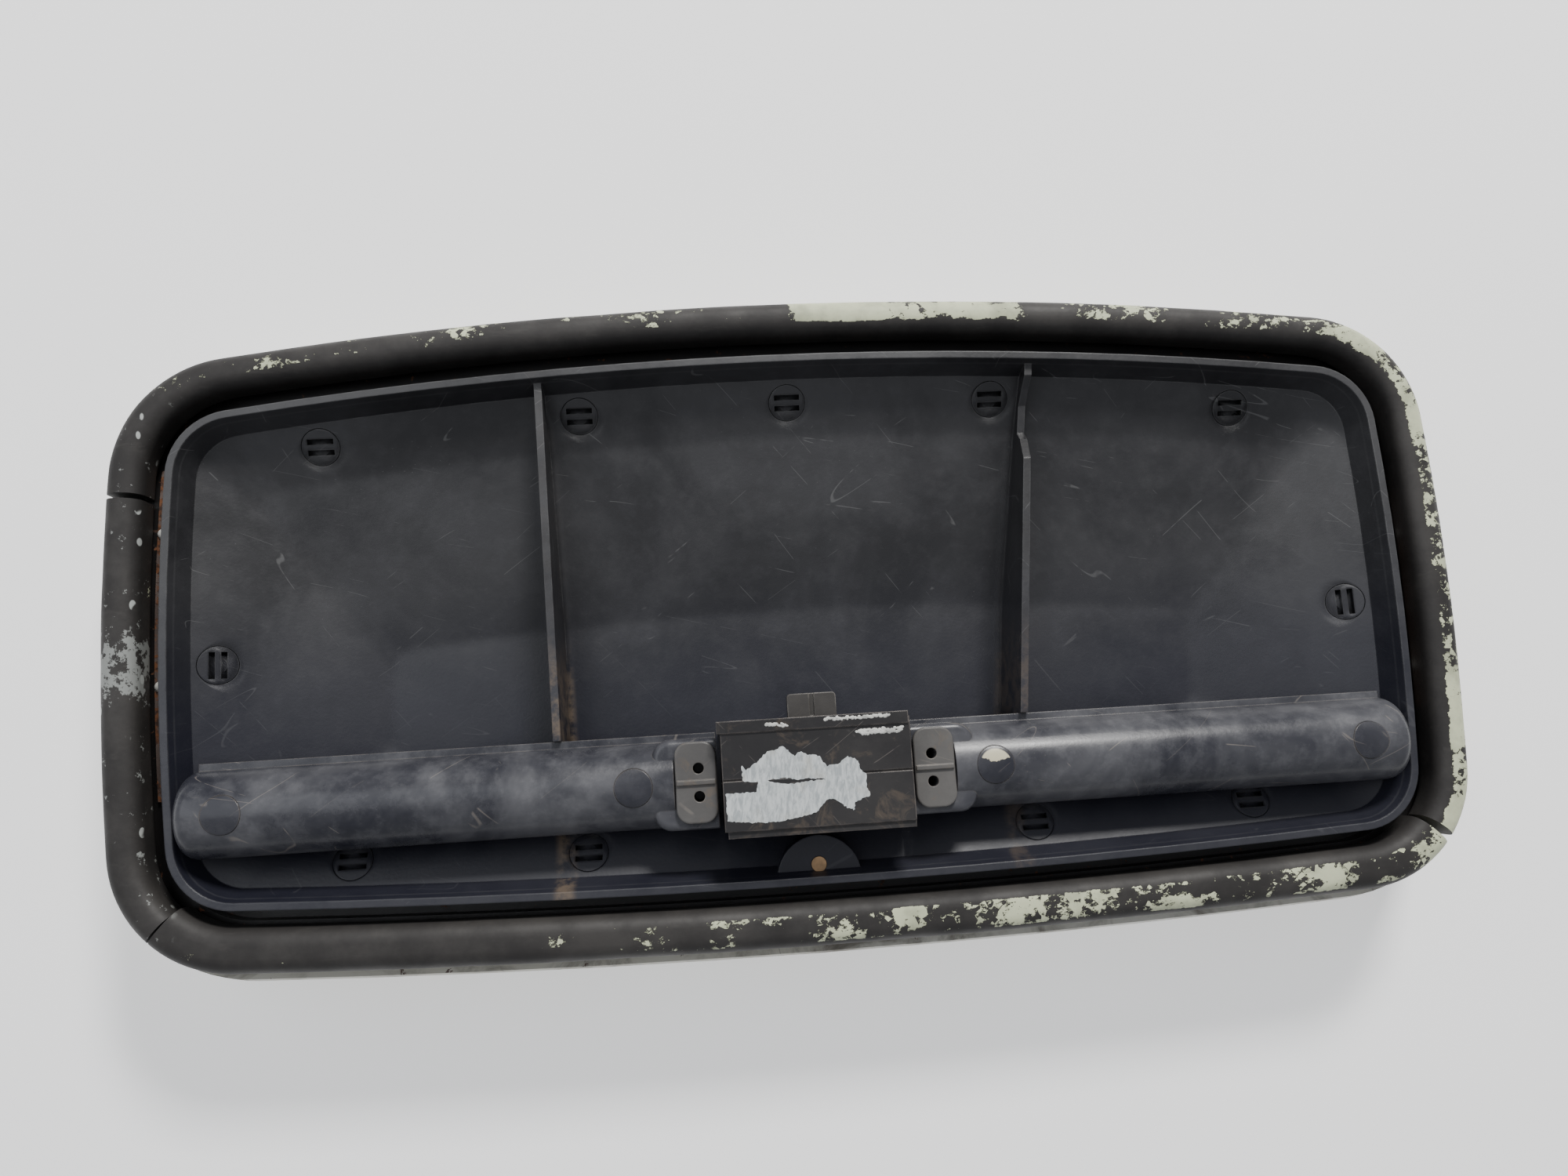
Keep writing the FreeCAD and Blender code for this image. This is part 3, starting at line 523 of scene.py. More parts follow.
@dataclass(frozen=True)
class FlakedRubber:
    """Aged brown-black rubber with crisp flakes of old cream paint along its outer shoulder."""

    name: str = "flaked_rubber"
    rubber: Colour = (0.026, 0.024, 0.023)
    bloom: Colour = (0.060, 0.056, 0.052)
    cream: Colour = (0.62, 0.65, 0.45)
    drab: Colour = (0.40, 0.42, 0.29)
    chalk: Colour = (0.42, 0.44, 0.42)

    def zones(self, s: Shader) -> list[PaintZone]:
        """The four sides: top, right, bottom and left."""
        x, y, _ = s.axes()
        across, along, _ = s.facing()
        heavy = s.band(x, 6 * MM, 30 * MM, 8 * MM)
        middling = s.band(x, 30 * MM, 78 * MM, 10 * MM)
        patches = s.math("MAXIMUM", s.band(x, 102 * MM, 134 * MM, 8 * MM), s.step(x, 146 * MM, 160 * MM))
        top = s.math("ADD", 0.31, s.math("MULTIPLY", heavy, 0.56))
        top = s.math("ADD", top, s.math("MULTIPLY", middling, 0.22))
        top = s.math("ADD", top, s.math("MULTIPLY", patches, 0.16))
        return [
            PaintZone(s.step(y, 68 * MM, 84 * MM), s.step(along, -0.75, -0.1), top),
            PaintZone(s.step(x, 196 * MM, 210 * MM), s.step(across, -0.62, -0.05), 0.58),
            PaintZone(s.step(y, -88 * MM, -78 * MM, 1.0, 0.0), s.band(along, -0.62, 0.25, 0.25),
                      s.step(x, -120 * MM, -10 * MM, 0.03, 0.46)),
            PaintZone(s.step(x, -212 * MM, -200 * MM, 1.0, 0.0), 1.0, 0.05),
        ]

    def paint(self, s: Shader) -> Any:
        """1 where paint is left, with torn borders and small angular chips."""
        wanted = None
        for zone in self.zones(s):
            reach = s.math("MULTIPLY", zone.place, zone.facing)
            here = s.math("SUBTRACT", s.math("MULTIPLY", reach, s.math("ADD", zone.share, 0.5)), 0.5)
            wanted = here if wanted is None else s.math("MAXIMUM", wanted, here)
        drawn_out = s.shifted((0.0, 0.0, 0.0), (0.6, 1.0, 1.0), 6.0)
        broad = s.math("MULTIPLY", s.noise(75.0, 2.0, 0.5, 0.0, drawn_out), 0.45)
        ragged = s.math("MULTIPLY", s.noise(330.0, 6.0, 0.78, 0.0, drawn_out), 0.43)
        chips = s.math("MULTIPLY", s.cells(520.0, None, "Color"), 0.12)
        level = s.math("ADD", broad, s.math("ADD", ragged, chips))
        level = s.math("ADD", level, s.math("MULTIPLY", s.math("SUBTRACT", wanted, 0.5), 0.36))
        return s.step(level, 0.5, 0.507)

    def material(self) -> bpy.types.Material:
        """The finished material."""
        s = Shader(self.name)
        mottle = s.step(s.noise(48.0, 5.0, 0.65), 0.35, 0.7)
        colour = s.mix(s.math("MULTIPLY", mottle, 0.6), self.rubber, self.bloom)
        drawn_out = s.shifted((0.1, 0.0, 0.0), (0.35, 1.6, 1.0))
        streaks = s.step(s.noise(140.0, 4.0, 0.7, 0.2, drawn_out), 0.58, 0.7)
        colour = s.mix(s.math("MULTIPLY", streaks, 0.35), colour, self.bloom)
        left = s.step(s.axes()[0], -214 * MM, -202 * MM, 1.0, 0.0)
        oval = s.step(s.cells(130.0, s.shifted((0.02, 0.0, 0.0), (1.5, 0.8, 1.0))), 0.15, 0.19, 1.0, 0.0)
        spots = s.math("MULTIPLY", oval, s.step(s.noise(45.0), 0.5, 0.53))
        smear = s.band(s.axes()[1], -10 * MM, -2 * MM, 13 * MM)
        smear = s.step(s.math("ADD", s.math("MULTIPLY", smear, 0.16), s.noise(200.0, 6.0, 0.75)), 0.62, 0.65)
        chalky = s.math("MAXIMUM", spots, s.math("MULTIPLY", smear, 0.6))
        colour = s.mix(s.math("MULTIPLY", chalky, left), colour, self.chalk)
        paint = self.paint(s)
        shade = s.mix(s.step(s.noise(85.0, 4.0, 0.6), 0.38, 0.72), self.cream, self.drab)
        colour = s.mix(paint, colour, shade)
        rough = s.math("SUBTRACT", 0.62, s.math("MULTIPLY", mottle, 0.1))
        pores = s.math("MULTIPLY", s.noise(700.0, 3.0, 0.6), 0.5)
        height = s.math("ADD", pores, s.math("MULTIPLY", paint, 1.6))
        return s.finish(colour, rough, s.bump(height, 0.00012, 0.8), Specular_IOR_Level=0.35)


@dataclass(frozen=True)
class WeatheredPaint:
    """Chalky cream paint on the outer cover, with grime, a painted shade at the top of the skirt under the
    seal, and chips down to primer.
    """

    name: str = "weathered_cream"
    paint: Colour = (0.50, 0.485, 0.41)
    faded: Colour = (0.60, 0.59, 0.53)
    grime: Colour = (0.16, 0.145, 0.12)
    primer: Colour = (0.10, 0.065, 0.05)

    def material(self) -> bpy.types.Material:
        """The finished material."""
        s = Shader(self.name)
        colour = s.mix(s.step(s.noise(11.0, 5.0, 0.6), 0.35, 0.68), self.paint, self.faded)
        _, _, z = s.axes()
        # Painted shade: the random grime is weighted about three times heavier towards the top of the skirt,
        # just under the seal, so the skirt darkens upwards.
        painted_shade_under_seal = s.step(z, 14 * MM, 31 * MM)
        dirt = s.step(s.noise(34.0, 6.0, 0.68, 0.7), 0.46, 0.7)
        grime_and_painted_shade = s.math("MULTIPLY", dirt, s.math("ADD", 0.3, s.math("MULTIPLY", painted_shade_under_seal, 0.68)))
        # The grime colour here carries both real grime and the painted shade under the seal.
        colour = s.mix(grime_and_painted_shade, colour, self.grime)
        chips = s.step(s.noise(120.0, 4.0, 0.7, 0.5), 0.68, 0.695)
        colour = s.mix(chips, colour, self.primer)
        runs = s.scratches(30.0, 0.006, 10.0, 2.3, 0.52)
        colour = s.mix(s.math("MULTIPLY", runs, 0.5), colour, self.grime)
        height = s.math("SUBTRACT", s.math("MULTIPLY", s.noise(600.0, 2.0), 0.3), chips)
        rough = s.math("ADD", 0.42, s.math("MULTIPLY", grime_and_painted_shade, 0.35))
        return s.finish(colour, rough, s.bump(height, 0.0001, 0.7, s.soft_edges(0.8 * MM)))


@dataclass(frozen=True)
class Steel:
    """Plain or primed steel, with as much rust as asked."""

    name: str
    clean: Colour
    rust_share: float
    grain: Grain = Grain.ROLLED
    metal: float = 1.0
    rust: Colour = (0.17, 0.065, 0.025)
    dark_rust: Colour = (0.045, 0.022, 0.014)

    def material(self) -> bpy.types.Material:
        """The finished material."""
        s = Shader(self.name)
        pitted = s.noise(210.0, 5.0, 0.7, 0.5)
        base = 0.70 if self.grain is Grain.ROLLED else 0.58
        rusty = s.step(pitted, base - 0.3 * self.rust_share, base - 0.3 * self.rust_share + 0.08)
        bloom = s.mix(s.step(s.noise(480.0, 3.0), 0.4, 0.62), self.rust, self.dark_rust)
        dull = tuple(part * 0.6 for part in self.clean)
        colour = s.mix(rusty, s.mix(s.step(s.noise(70.0, 4.0), 0.35, 0.7), self.clean, dull), bloom)
        metal = s.math("MULTIPLY", s.math("SUBTRACT", 1.0, rusty), self.metal)
        rough = s.math("ADD", 0.36, s.math("MULTIPLY", rusty, 0.45))
        return s.finish(colour, rough, s.bump(pitted, 0.00012, 0.6, s.soft_edges(0.2 * MM)), metal)


@dataclass(frozen=True)
class TornFoil:
    """Silver-white remains of a paper-backed label, with upright fibres."""

    name: str = "torn_foil"
    pale: Colour = (0.60, 0.63, 0.63)
    grey: Colour = (0.36, 0.39, 0.40)
    stain: Colour = (0.42, 0.40, 0.33)

    def material(self) -> bpy.types.Material:
        """The finished material."""
        s = Shader(self.name)
        fibres = s.noise(900.0, 4.0, 0.65, 0.5, s.shifted((0.0, 0.0, 0.0), (1.0, 0.28, 1.0), -6.0))
        colour = s.mix(s.step(fibres, 0.38, 0.66), self.pale, self.grey)
        colour = s.mix(s.math("MULTIPLY", s.step(s.noise(120.0, 3.0), 0.5, 0.7), 0.4), colour, self.stain)
        return s.finish(colour, 0.5, s.bump(fibres, 0.00012, 0.9))


@dataclass(frozen=True)
class SoftStuff:
    """Foam and plain fittings: one colour, broken up by pores and grime."""

    name: str
    colour: Colour
    rough: float = 0.6
    pore_scale: float = 800.0

    def material(self) -> bpy.types.Material:
        """The finished material."""
        s = Shader(self.name)
        pores = s.noise(self.pore_scale, 3.0, 0.6)
        dark = tuple(c * 0.45 for c in self.colour)
        colour = s.mix(s.step(s.noise(110.0, 4.0, 0.6), 0.4, 0.72), self.colour, dark)
        return s.finish(colour, self.rough, s.bump(pores, 0.0001, 0.6, s.soft_edges(0.3 * MM)))


# ---------------------------------------------------------------- geometry node building


class GeoTree:
    """A Geometry Nodes tree under construction."""

    def __init__(self, name: str) -> None:
        """Start a tree with a geometry input and output.

        Args:
            name: The tree's name.
        """
        self.tree = bpy.data.node_groups.new(name, "GeometryNodeTree")
        self.tree.interface.new_socket("Geometry", in_out="INPUT", socket_type="NodeSocketGeometry")
        self.tree.interface.new_socket("Geometry", in_out="OUTPUT", socket_type="NodeSocketGeometry")
        self.inputs = self.tree.nodes.new("NodeGroupInput")
        self.output = self.tree.nodes.new("NodeGroupOutput")
        self.identifiers: dict[str, str] = {}

    def size(self, name: str, default: float) -> Any:
        """Add a named number input.

        Args:
            name: The input's name.
            default: Its value where none is given.

        Returns:
            Its socket inside the tree.
        """
        item = self.tree.interface.new_socket(name, in_out="INPUT", socket_type="NodeSocketFloat")
        item.default_value = default
        self.identifiers[name] = item.identifier
        return next(o for o in self.inputs.outputs if o.identifier == item.identifier)

    def node(self, kind: str, settings: dict[str, Any] | None = None, **sockets: Any) -> bpy.types.Node:
        """Add a node.

        Args:
            kind: The node's type.
            settings: Plain properties.
            **sockets: Input sockets by name, with underscores for spaces.

        Returns:
            The new node.
        """
        made = self.tree.nodes.new(kind)
        for key, value in (settings or {}).items():
            setattr(made, key, value)
        for key, value in sockets.items():
            self.plug(self.socket(made, key.replace("_", " ")), value)
        return made

    @staticmethod
    def socket(node: bpy.types.Node, name: str) -> Any:
        """The enabled input of that name."""
        return next(i for i in node.inputs if i.name == name and i.enabled)

    def plug(self, socket: Any, value: Any) -> None:
        """Link a socket to another, or set its value.

        Args:
            socket: The input socket.
            value: An output socket or a plain value.
        """
        if isinstance(value, bpy.types.NodeSocket):
            self.tree.links.new(value, socket)
        else:
            socket.default_value = value

    def close(self, geometry: Any, material: bpy.types.Material) -> None:
        """End the tree in Realize Instances and Set Material.

        Args:
            geometry: What the tree has made.
            material: Its finish.
        """
        real = self.node("GeometryNodeRealizeInstances", Geometry=geometry)
        dressed = self.node("GeometryNodeSetMaterial", Geometry=real.outputs[0], Material=material)
        self.plug(self.output.inputs[0], dressed.outputs[0])


def baked(source: bpy.types.Object, tree: GeoTree, sizes: dict[str, float], name: str) -> bpy.types.Object:
    """Run a tree on an object and keep the result as a plain mesh.

    Args:
        source: The object that the tree works on. It is removed.
        tree: The tree.
        sizes: Values of the tree's named inputs.
        name: The new piece's name.

    Returns:
        A mesh object at the origin.
    """
    modifier = source.modifiers.new("shape", "NODES")
    modifier.node_group = tree.tree
    for key, value in sizes.items():
        modifier[tree.identifiers[key]] = value
    bpy.context.view_layer.update()
    shape = source.evaluated_get(bpy.context.evaluated_depsgraph_get())
    mesh = bpy.data.meshes.new_from_object(shape, preserve_all_data_layers=True,
                                           depsgraph=bpy.context.evaluated_depsgraph_get())
    bpy.data.objects.remove(source)
    mesh.name = name
    piece = bpy.data.objects.new(name, mesh)
    bpy.context.scene.collection.objects.link(piece)
    return piece


def line_object(name: str, points: Sequence[Vector]) -> bpy.types.Object:
    """Make a curve of straight runs.

    Args:
        name: The object's name.
        points: The points that it joins.

    Returns:
        The curve object.
    """
    data = bpy.data.curves.new(name, "CURVE")
    data.dimensions = "3D"
    spline = data.splines.new("POLY")
    spline.points.add(len(points) - 1)
    for place, point in zip(spline.points, points):
        place.co = (*point, 1.0)
    made = bpy.data.objects.new(name, data)
    bpy.context.scene.collection.objects.link(made)
    return made


def point_object(name: str, points: Sequence[Vector]) -> bpy.types.Object:
    """Make a mesh of loose points.

    Args:
        name: The object's name.
        points: The points.

    Returns:
        The mesh object.
    """
    mesh = bpy.data.meshes.new(name)
    mesh.from_pydata([tuple(p) for p in points], [], [])
    made = bpy.data.objects.new(name, mesh)
    bpy.context.scene.collection.objects.link(made)
    return made


def settle(piece: bpy.types.Object, body: Body, slot: str, *replaced: str) -> bpy.types.Object:
    """Put a finished piece on its body.

    Args:
        piece: The piece.
        body: The body that it rides on.
        slot: Not used.
        *replaced: The nodes that it stands for.

    Returns:
        The same piece.
    """
    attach(piece, body.value)
    if replaced:
        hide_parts(*replaced)
    LOG.info("piece %s on %s, %d faces", piece.name, body.value, len(piece.data.polygons))
    return piece


# ---------------------------------------------------------------- sub-assemblies


@dataclass
class LeafOutline:
    """Plan outline shared by the rim, the seal and the cover."""

    half_x: float = 210 * MM
    y_top: float = 90 * MM
    y_bottom: float = -90 * MM
    arch_radius: float = 1500 * MM
    foot_radius: float = 3600 * MM
    flank_radius: float = 900 * MM
    flank_mid_y: float = 8 * MM
    corner_radius: float = 22 * MM

    def sides(self, inset: float) -> list[tuple[Vector, float]]:
        """Work out the four sides' arcs.

        Args:
            inset: Distance inside the rim; negative is outside.

        Returns:
            Centres and radii of the right, top, left and bottom arcs.
        """
        across = self.half_x - self.flank_radius
        return [
            (Vector((across, self.flank_mid_y)), self.flank_radius - inset),
            (Vector((0, self.y_top - self.arch_radius)), self.arch_radius - inset),
            (Vector((-across, self.flank_mid_y)), self.flank_radius - inset),
            (Vector((0, self.y_bottom + self.foot_radius)), self.foot_radius - inset),
        ]

    @staticmethod
    def crossing(a: Vector, ra: float, b: Vector, rb: float, upper: bool) -> Vector:
        """Find where two circles cross.

        Args:
            a: First centre.
            ra: First radius.
            b: Second centre.
            rb: Second radius.
            upper: Whether the upper crossing is wanted.

        Returns:
            The crossing.
        """
        gap = b - a
        along = (gap.length_squared + ra * ra - rb * rb) / (2 * gap.length)
        off = math.sqrt(ra * ra - along * along)
        base = a + gap.normalized() * along
        across = Vector((-gap.y, gap.x)).normalized() * off
        pair = sorted((base + across, base - across), key=lambda p: p.y)
        return pair[1] if upper else pair[0]

    def points(self, inset: float, spacing: float = 2.5 * MM) -> list[Vector]:
        """Points round the whole outline, counterclockwise from the right flank's foot.

        Args:
            inset: Distance inside the rim; negative is outside.
            spacing: Rough distance between points.

        Returns:
            The points, with no repeat at the end.
        """
        sides = self.sides(inset)
        corner = self.corner_radius - inset
        centres = []
        for i in range(4):
            (ca, ra), (cb, rb) = sides[i], sides[(i + 1) % 4]
            centres.append(self.crossing(ca, ra - corner, cb, rb - corner, i < 2))
        made: list[Vector] = []
        for i, (centre, radius) in enumerate(sides):
            start = (centres[i - 1] - centre).normalized()
            end = (centres[i] - centre).normalized()
            made += self.sweep(centre, radius, start, end, spacing)
            after = (centres[i] - sides[(i + 1) % 4][0]).normalized()
            made += self.sweep(centres[i], corner, end, after, spacing)
        return made

    @staticmethod
    def sweep(centre: Vector, radius: float, start: Vector, end: Vector, spacing: float) -> list[Vector]:
        """Step along an arc.

        Args:
            centre: The arc's centre.
            radius: Its radius.
            start: Direction from the centre to its start.
            end: Direction from the centre to its end.
            spacing: Rough distance between points.

        Returns:
            The points, without the last one.
        """
        angle = math.atan2(start.x * end.y - start.y * end.x, start.dot(end))
        count = max(3, round(abs(angle) * radius / spacing))
        spun = [start.copy() for _ in range(count)]
        for i, direction in enumerate(spun):
            direction.rotate(Matrix.Rotation(angle * i / count, 2))
        return [centre + direction * radius for direction in spun]


@dataclass
class BulbSeal:
    """The rubber bulb in three lengths, each a crowned profile swept along the outline."""

    outline: LeafOutline
    outer: float = -20 * MM
    inner: float = -8 * MM
    lower_inner: float = -5.6 * MM
    crown_round: float = 5.4 * MM
    seat_height: float = 34 * MM
    height: float = 16 * MM
    joint_gap: float = 0.9 * MM
    dent: float = 0.45 * MM
    dent_level: float = 0.62
    crack: tuple[float, float] = (-222 * MM, 50 * MM)
    left_cut: tuple[float, float] = (-213 * MM, -93 * MM)
    right_cut: tuple[float, float] = (216 * MM, -90 * MM)

    def tree(self, material: bpy.types.Material) -> GeoTree:
        """The tree that sweeps the bulb along a line.

        Args:
            material: The rubber.

        Returns:
            The tree, with inputs Width, Height, Round and Dent.
        """
        g = GeoTree("bulb_sweep")
        width = g.size("Width", 12 * MM)
        height = g.size("Height", 16 * MM)
        crown = g.size("Round", 5 * MM)
        dent = g.size("Dent", 0.2 * MM)
        box = g.node("GeometryNodeCurvePrimitiveQuadrilateral", Width=width, Height=height)
        rounded = g.node("GeometryNodeFilletCurve", {"mode": "POLY"}, Curve=box.outputs[0], Count=7,
                         Radius=crown)
        swept = g.node("GeometryNodeCurveToMesh", Curve=g.inputs.outputs[0], Profile_Curve=rounded.outputs[0],
                       Fill_Caps=True)
        noise = g.node("ShaderNodeTexNoise", Scale=34.0, Detail=2.0)
        centred = g.node("ShaderNodeMath", {"operation": "SUBTRACT"})
        g.plug(centred.inputs[0], noise.outputs[0])
        centred.inputs[1].default_value = self.dent_level
        depth = g.node("ShaderNodeMath", {"operation": "MULTIPLY"})
        g.plug(depth.inputs[0], centred.outputs[0])
        g.plug(depth.inputs[1], dent)
        push = g.node("ShaderNodeVectorMath", {"operation": "SCALE"})
        g.plug(push.inputs[0], g.node("GeometryNodeInputNormal").outputs[0])
        g.plug(push.inputs["Scale"], depth.outputs[0])
        moved = g.node("GeometryNodeSetPosition", Geometry=swept.outputs[0], Offset=push.outputs[0])
        smooth = g.node("GeometryNodeSetShadeSmooth", Geometry=moved.outputs[0])
        g.close(smooth.outputs[0], material)
        return g

    def length(self, points: list[Vector], start: tuple[float, float],
               end: tuple[float, float]) -> list[Vector]:
        """Cut the stretch from one joint to the next, with a gap at each end.

        Args:
            points: The whole outline.
            start: A place near the first joint.
            end: A place near the second joint.

        Returns:
            The stretch's points at the bulb's middle height.
        """
        first = min(range(len(points)), key=lambda i: (points[i] - Vector(start)).length)
        last = min(range(len(points)), key=lambda i: (points[i] - Vector(end)).length)
        run = points[first:last + 1] if first < last else points[first:] + points[:last + 1]
        run[0] = run[0].lerp(run[1], self.joint_gap / (run[1] - run[0]).length)
        run[-1] = run[-1].lerp(run[-2], self.joint_gap / (run[-2] - run[-1]).length)
        middle = self.seat_height + self.height / 2
        return [Vector((p.x, p.y, middle)) for p in run]

    def build(self, material: bpy.types.Material) -> None:
        """Make the three lengths.

        Args:
            material: The rubber.
        """
        tree = self.tree(material)
        runs = (("seal_upper", self.inner, self.right_cut, self.crack),
                ("seal_left", self.inner, self.crack, self.left_cut),
                ("seal_lower", self.lower_inner, self.left_cut, self.right_cut))
        for node, inner, start, end in runs:
            points = self.outline.points((self.outer + inner) / 2)
            path = line_object(node + "_line", self.length(points, start, end))
            sizes = {"Width": inner - self.outer, "Height": self.height, "Round": self.crown_round,
                     "Dent": self.dent}
            settle(baked(path, tree, sizes, node + "_bulb"), Body.LEAF, "seal_rubber", node)


@dataclass
class TornLabel:
    """What is left of the label on the latch's face: a thin sheet with ragged edges and a split."""

    face_height: float = 64.0 * MM
    middle_y: float = -54.0 * MM
    seed: int = 7
    outline: list[tuple[float, float]] = field(default_factory=lambda: [
        (-29.8, -4.6), (-29.6, -13.0), (-22.4, -13.9), (-14.9, -14.3), (-7.2, -13.2), (-1.4, -12.1),
        (2.7, -8.0), (4.9, -8.4), (8.2, -11.1), (10.7, -12.2), (11.2, -9.5), (16.2, -7.9), (15.1, -5.0),
        (15.4, -1.3), (13.3, 0.8), (13.1, 3.3), (9.7, 4.8), (7.0, 2.8), (2.8, 2.1), (0.4, 5.7),
        (-3.1, 6.2), (-5.5, 7.3), (-7.2, 5.9), (-8.7, 7.2), (-10.8, 9.6), (-12.8, 8.4), (-16.1, 7.7),
        (-18.7, 5.3), (-23.0, 2.5), (-24.2, 4.1),
        (-24.2, -0.9), (-19.2, -1.5), (-20.0, -4.6), (-25.7, -4.5)])
    split: list[tuple[float, float]] = field(default_factory=lambda: [
        (-16.6, -0.9), (-10.2, -0.8), (-6.4, -1.6), (-3.5, -1.2), (2.5, -1.9), (-3.9, -2.2), (-9.1, -2.7),
        (-15.3, -1.7)])

    def tree(self, material: bpy.types.Material) -> GeoTree:
        """The tree that tears the outline and turns it into a sheet.

        Args:
            material: The foil.

        Returns:
            The tree, with inputs Tear, Step and Thickness.
        """
        g = GeoTree("torn_sheet")
        tear = g.size("Tear", 0.3 * MM)
        step = g.size("Step", 0.5 * MM)
        thick = g.size("Thickness", 0.12 * MM)
        fine = g.node("GeometryNodeResampleCurve", {"mode": "LENGTH"}, Curve=g.inputs.outputs[0], Length=step)
        loose = g.node("FunctionNodeRandomValue", {"data_type": "FLOAT_VECTOR"})
        g.plug(loose.inputs["Min"], (-1.0, -1.0, 0.0))
        g.plug(loose.inputs["Max"], (1.0, 1.0, 0.0))
        g.plug(loose.inputs["Seed"], self.seed)
        push = g.node("ShaderNodeVectorMath", {"operation": "SCALE"})
        g.plug(push.inputs[0], loose.outputs[0])
        g.plug(push.inputs["Scale"], tear)
        torn = g.node("GeometryNodeSetPosition", Geometry=fine.outputs[0], Offset=push.outputs[0])
        sheet = g.node("GeometryNodeFillCurve", Curve=torn.outputs[0])
        up = g.node("ShaderNodeCombineXYZ", Z=1.0)
        raised = g.node("GeometryNodeExtrudeMesh", Mesh=sheet.outputs[0], Offset=up.outputs[0],
                        Offset_Scale=thick, Individual=False)
        place = g.node("GeometryNodeTransform", Geometry=raised.outputs[0],
                       Translation=(0.0, self.middle_y, self.face_height))
        g.close(place.outputs[0], material)
        return g

    def build(self, material: bpy.types.Material) -> None:
        """Make the label.

        Args:
            material: The foil.
        """
        data = bpy.data.curves.new("label_lines", "CURVE")
        data.dimensions = "2D"
        for loop in (self.outline, self.split):
            spline = data.splines.new("POLY")
            spline.points.add(len(loop) - 1)
            for place, (x, y) in zip(spline.points, loop):
                place.co = (x * MM, y * MM, 0.0, 1.0)
            spline.use_cyclic_u = True
        source = bpy.data.objects.new("label_lines", data)
        bpy.context.scene.collection.objects.link(source)
        sizes = {"Tear": 0.24 * MM, "Step": 0.55 * MM, "Thickness": 0.12 * MM}
        settle(baked(source, self.tree(material), sizes, "torn_label"), Body.LEAF, "case_plastic")


@dataclass
class PaintCrumbs:
    """Small chips of white paint left on the latch's upper lip."""

    lip_height: float = 64.6 * MM
    face_height: float = 64.0 * MM
    face_edge_y: float = -39.7 * MM
    seed: int = 11
    spacing: float = 0.55 * MM
    spread: float = 0.35
    chip: float = 0.85 * MM
    strips: list[tuple[tuple[float, float], tuple[float, float]]] = field(default_factory=lambda: [
        ((-15.8, -37.6), (-9.0, -38.0)), ((3.2, -37.0), (24.2, -37.0)), ((13.0, -41.6), (28.2, -41.3)),
        ((14.5, -42.5), (27.5, -42.1))])

    def tree(self, material: bpy.types.Material) -> GeoTree:
        """The tree that sets flat chips on a line of points.

        Args:
            material: The chips' paint.

        Returns:
            The tree, with the input Chip.
        """
        g = GeoTree("paint_crumbs")
        size = g.size("Chip", 1.0 * MM)
        chip = g.node("GeometryNodeMeshIcoSphere", Radius=size, Subdivisions=2)
        scale = g.node("FunctionNodeRandomValue", {"data_type": "FLOAT_VECTOR"})
        scale.inputs["Min"].default_value = (0.5, 0.4, 0.10)
        scale.inputs["Max"].default_value = (1.2, 0.8, 0.16)
        scale.inputs["Seed"].default_value = self.seed
        turn = g.node("FunctionNodeRandomValue", {"data_type": "FLOAT_VECTOR"})
        turn.inputs["Min"].default_value = (0.0, 0.0, -0.6)
        turn.inputs["Max"].default_value = (0.0, 0.0, 0.6)
        turn.inputs["Seed"].default_value = self.seed + 1
        placed = g.node("GeometryNodeInstanceOnPoints", Points=g.inputs.outputs[0], Instance=chip.outputs[0],
                        Rotation=turn.outputs[0], Scale=scale.outputs[0])
        g.close(placed.outputs[0], material)
        return g

    def build(self, material: bpy.types.Material) -> None:
        """Scatter the chips along each strip.

        Args:
            material: The chips' paint.
        """
        rng = random.Random(self.seed)
        points = []
        for start, end in self.strips:
            a, b = Vector(start) * MM, Vector(end) * MM
            count = round((b - a).length / self.spacing)
            for i in range(count):
                p = a.lerp(b, (i + rng.random()) / count)
                height = self.lip_height if p.y > self.face_edge_y else self.face_height
                points.append(Vector((p.x, p.y + rng.uniform(-self.spread, self.spread) * MM, height)))
        source = point_object("crumb_points", points)
        chips = baked(source, self.tree(material), {"Chip": self.chip}, "lip_paint_chips")
        settle(chips, Body.LEAF, "case_plastic")


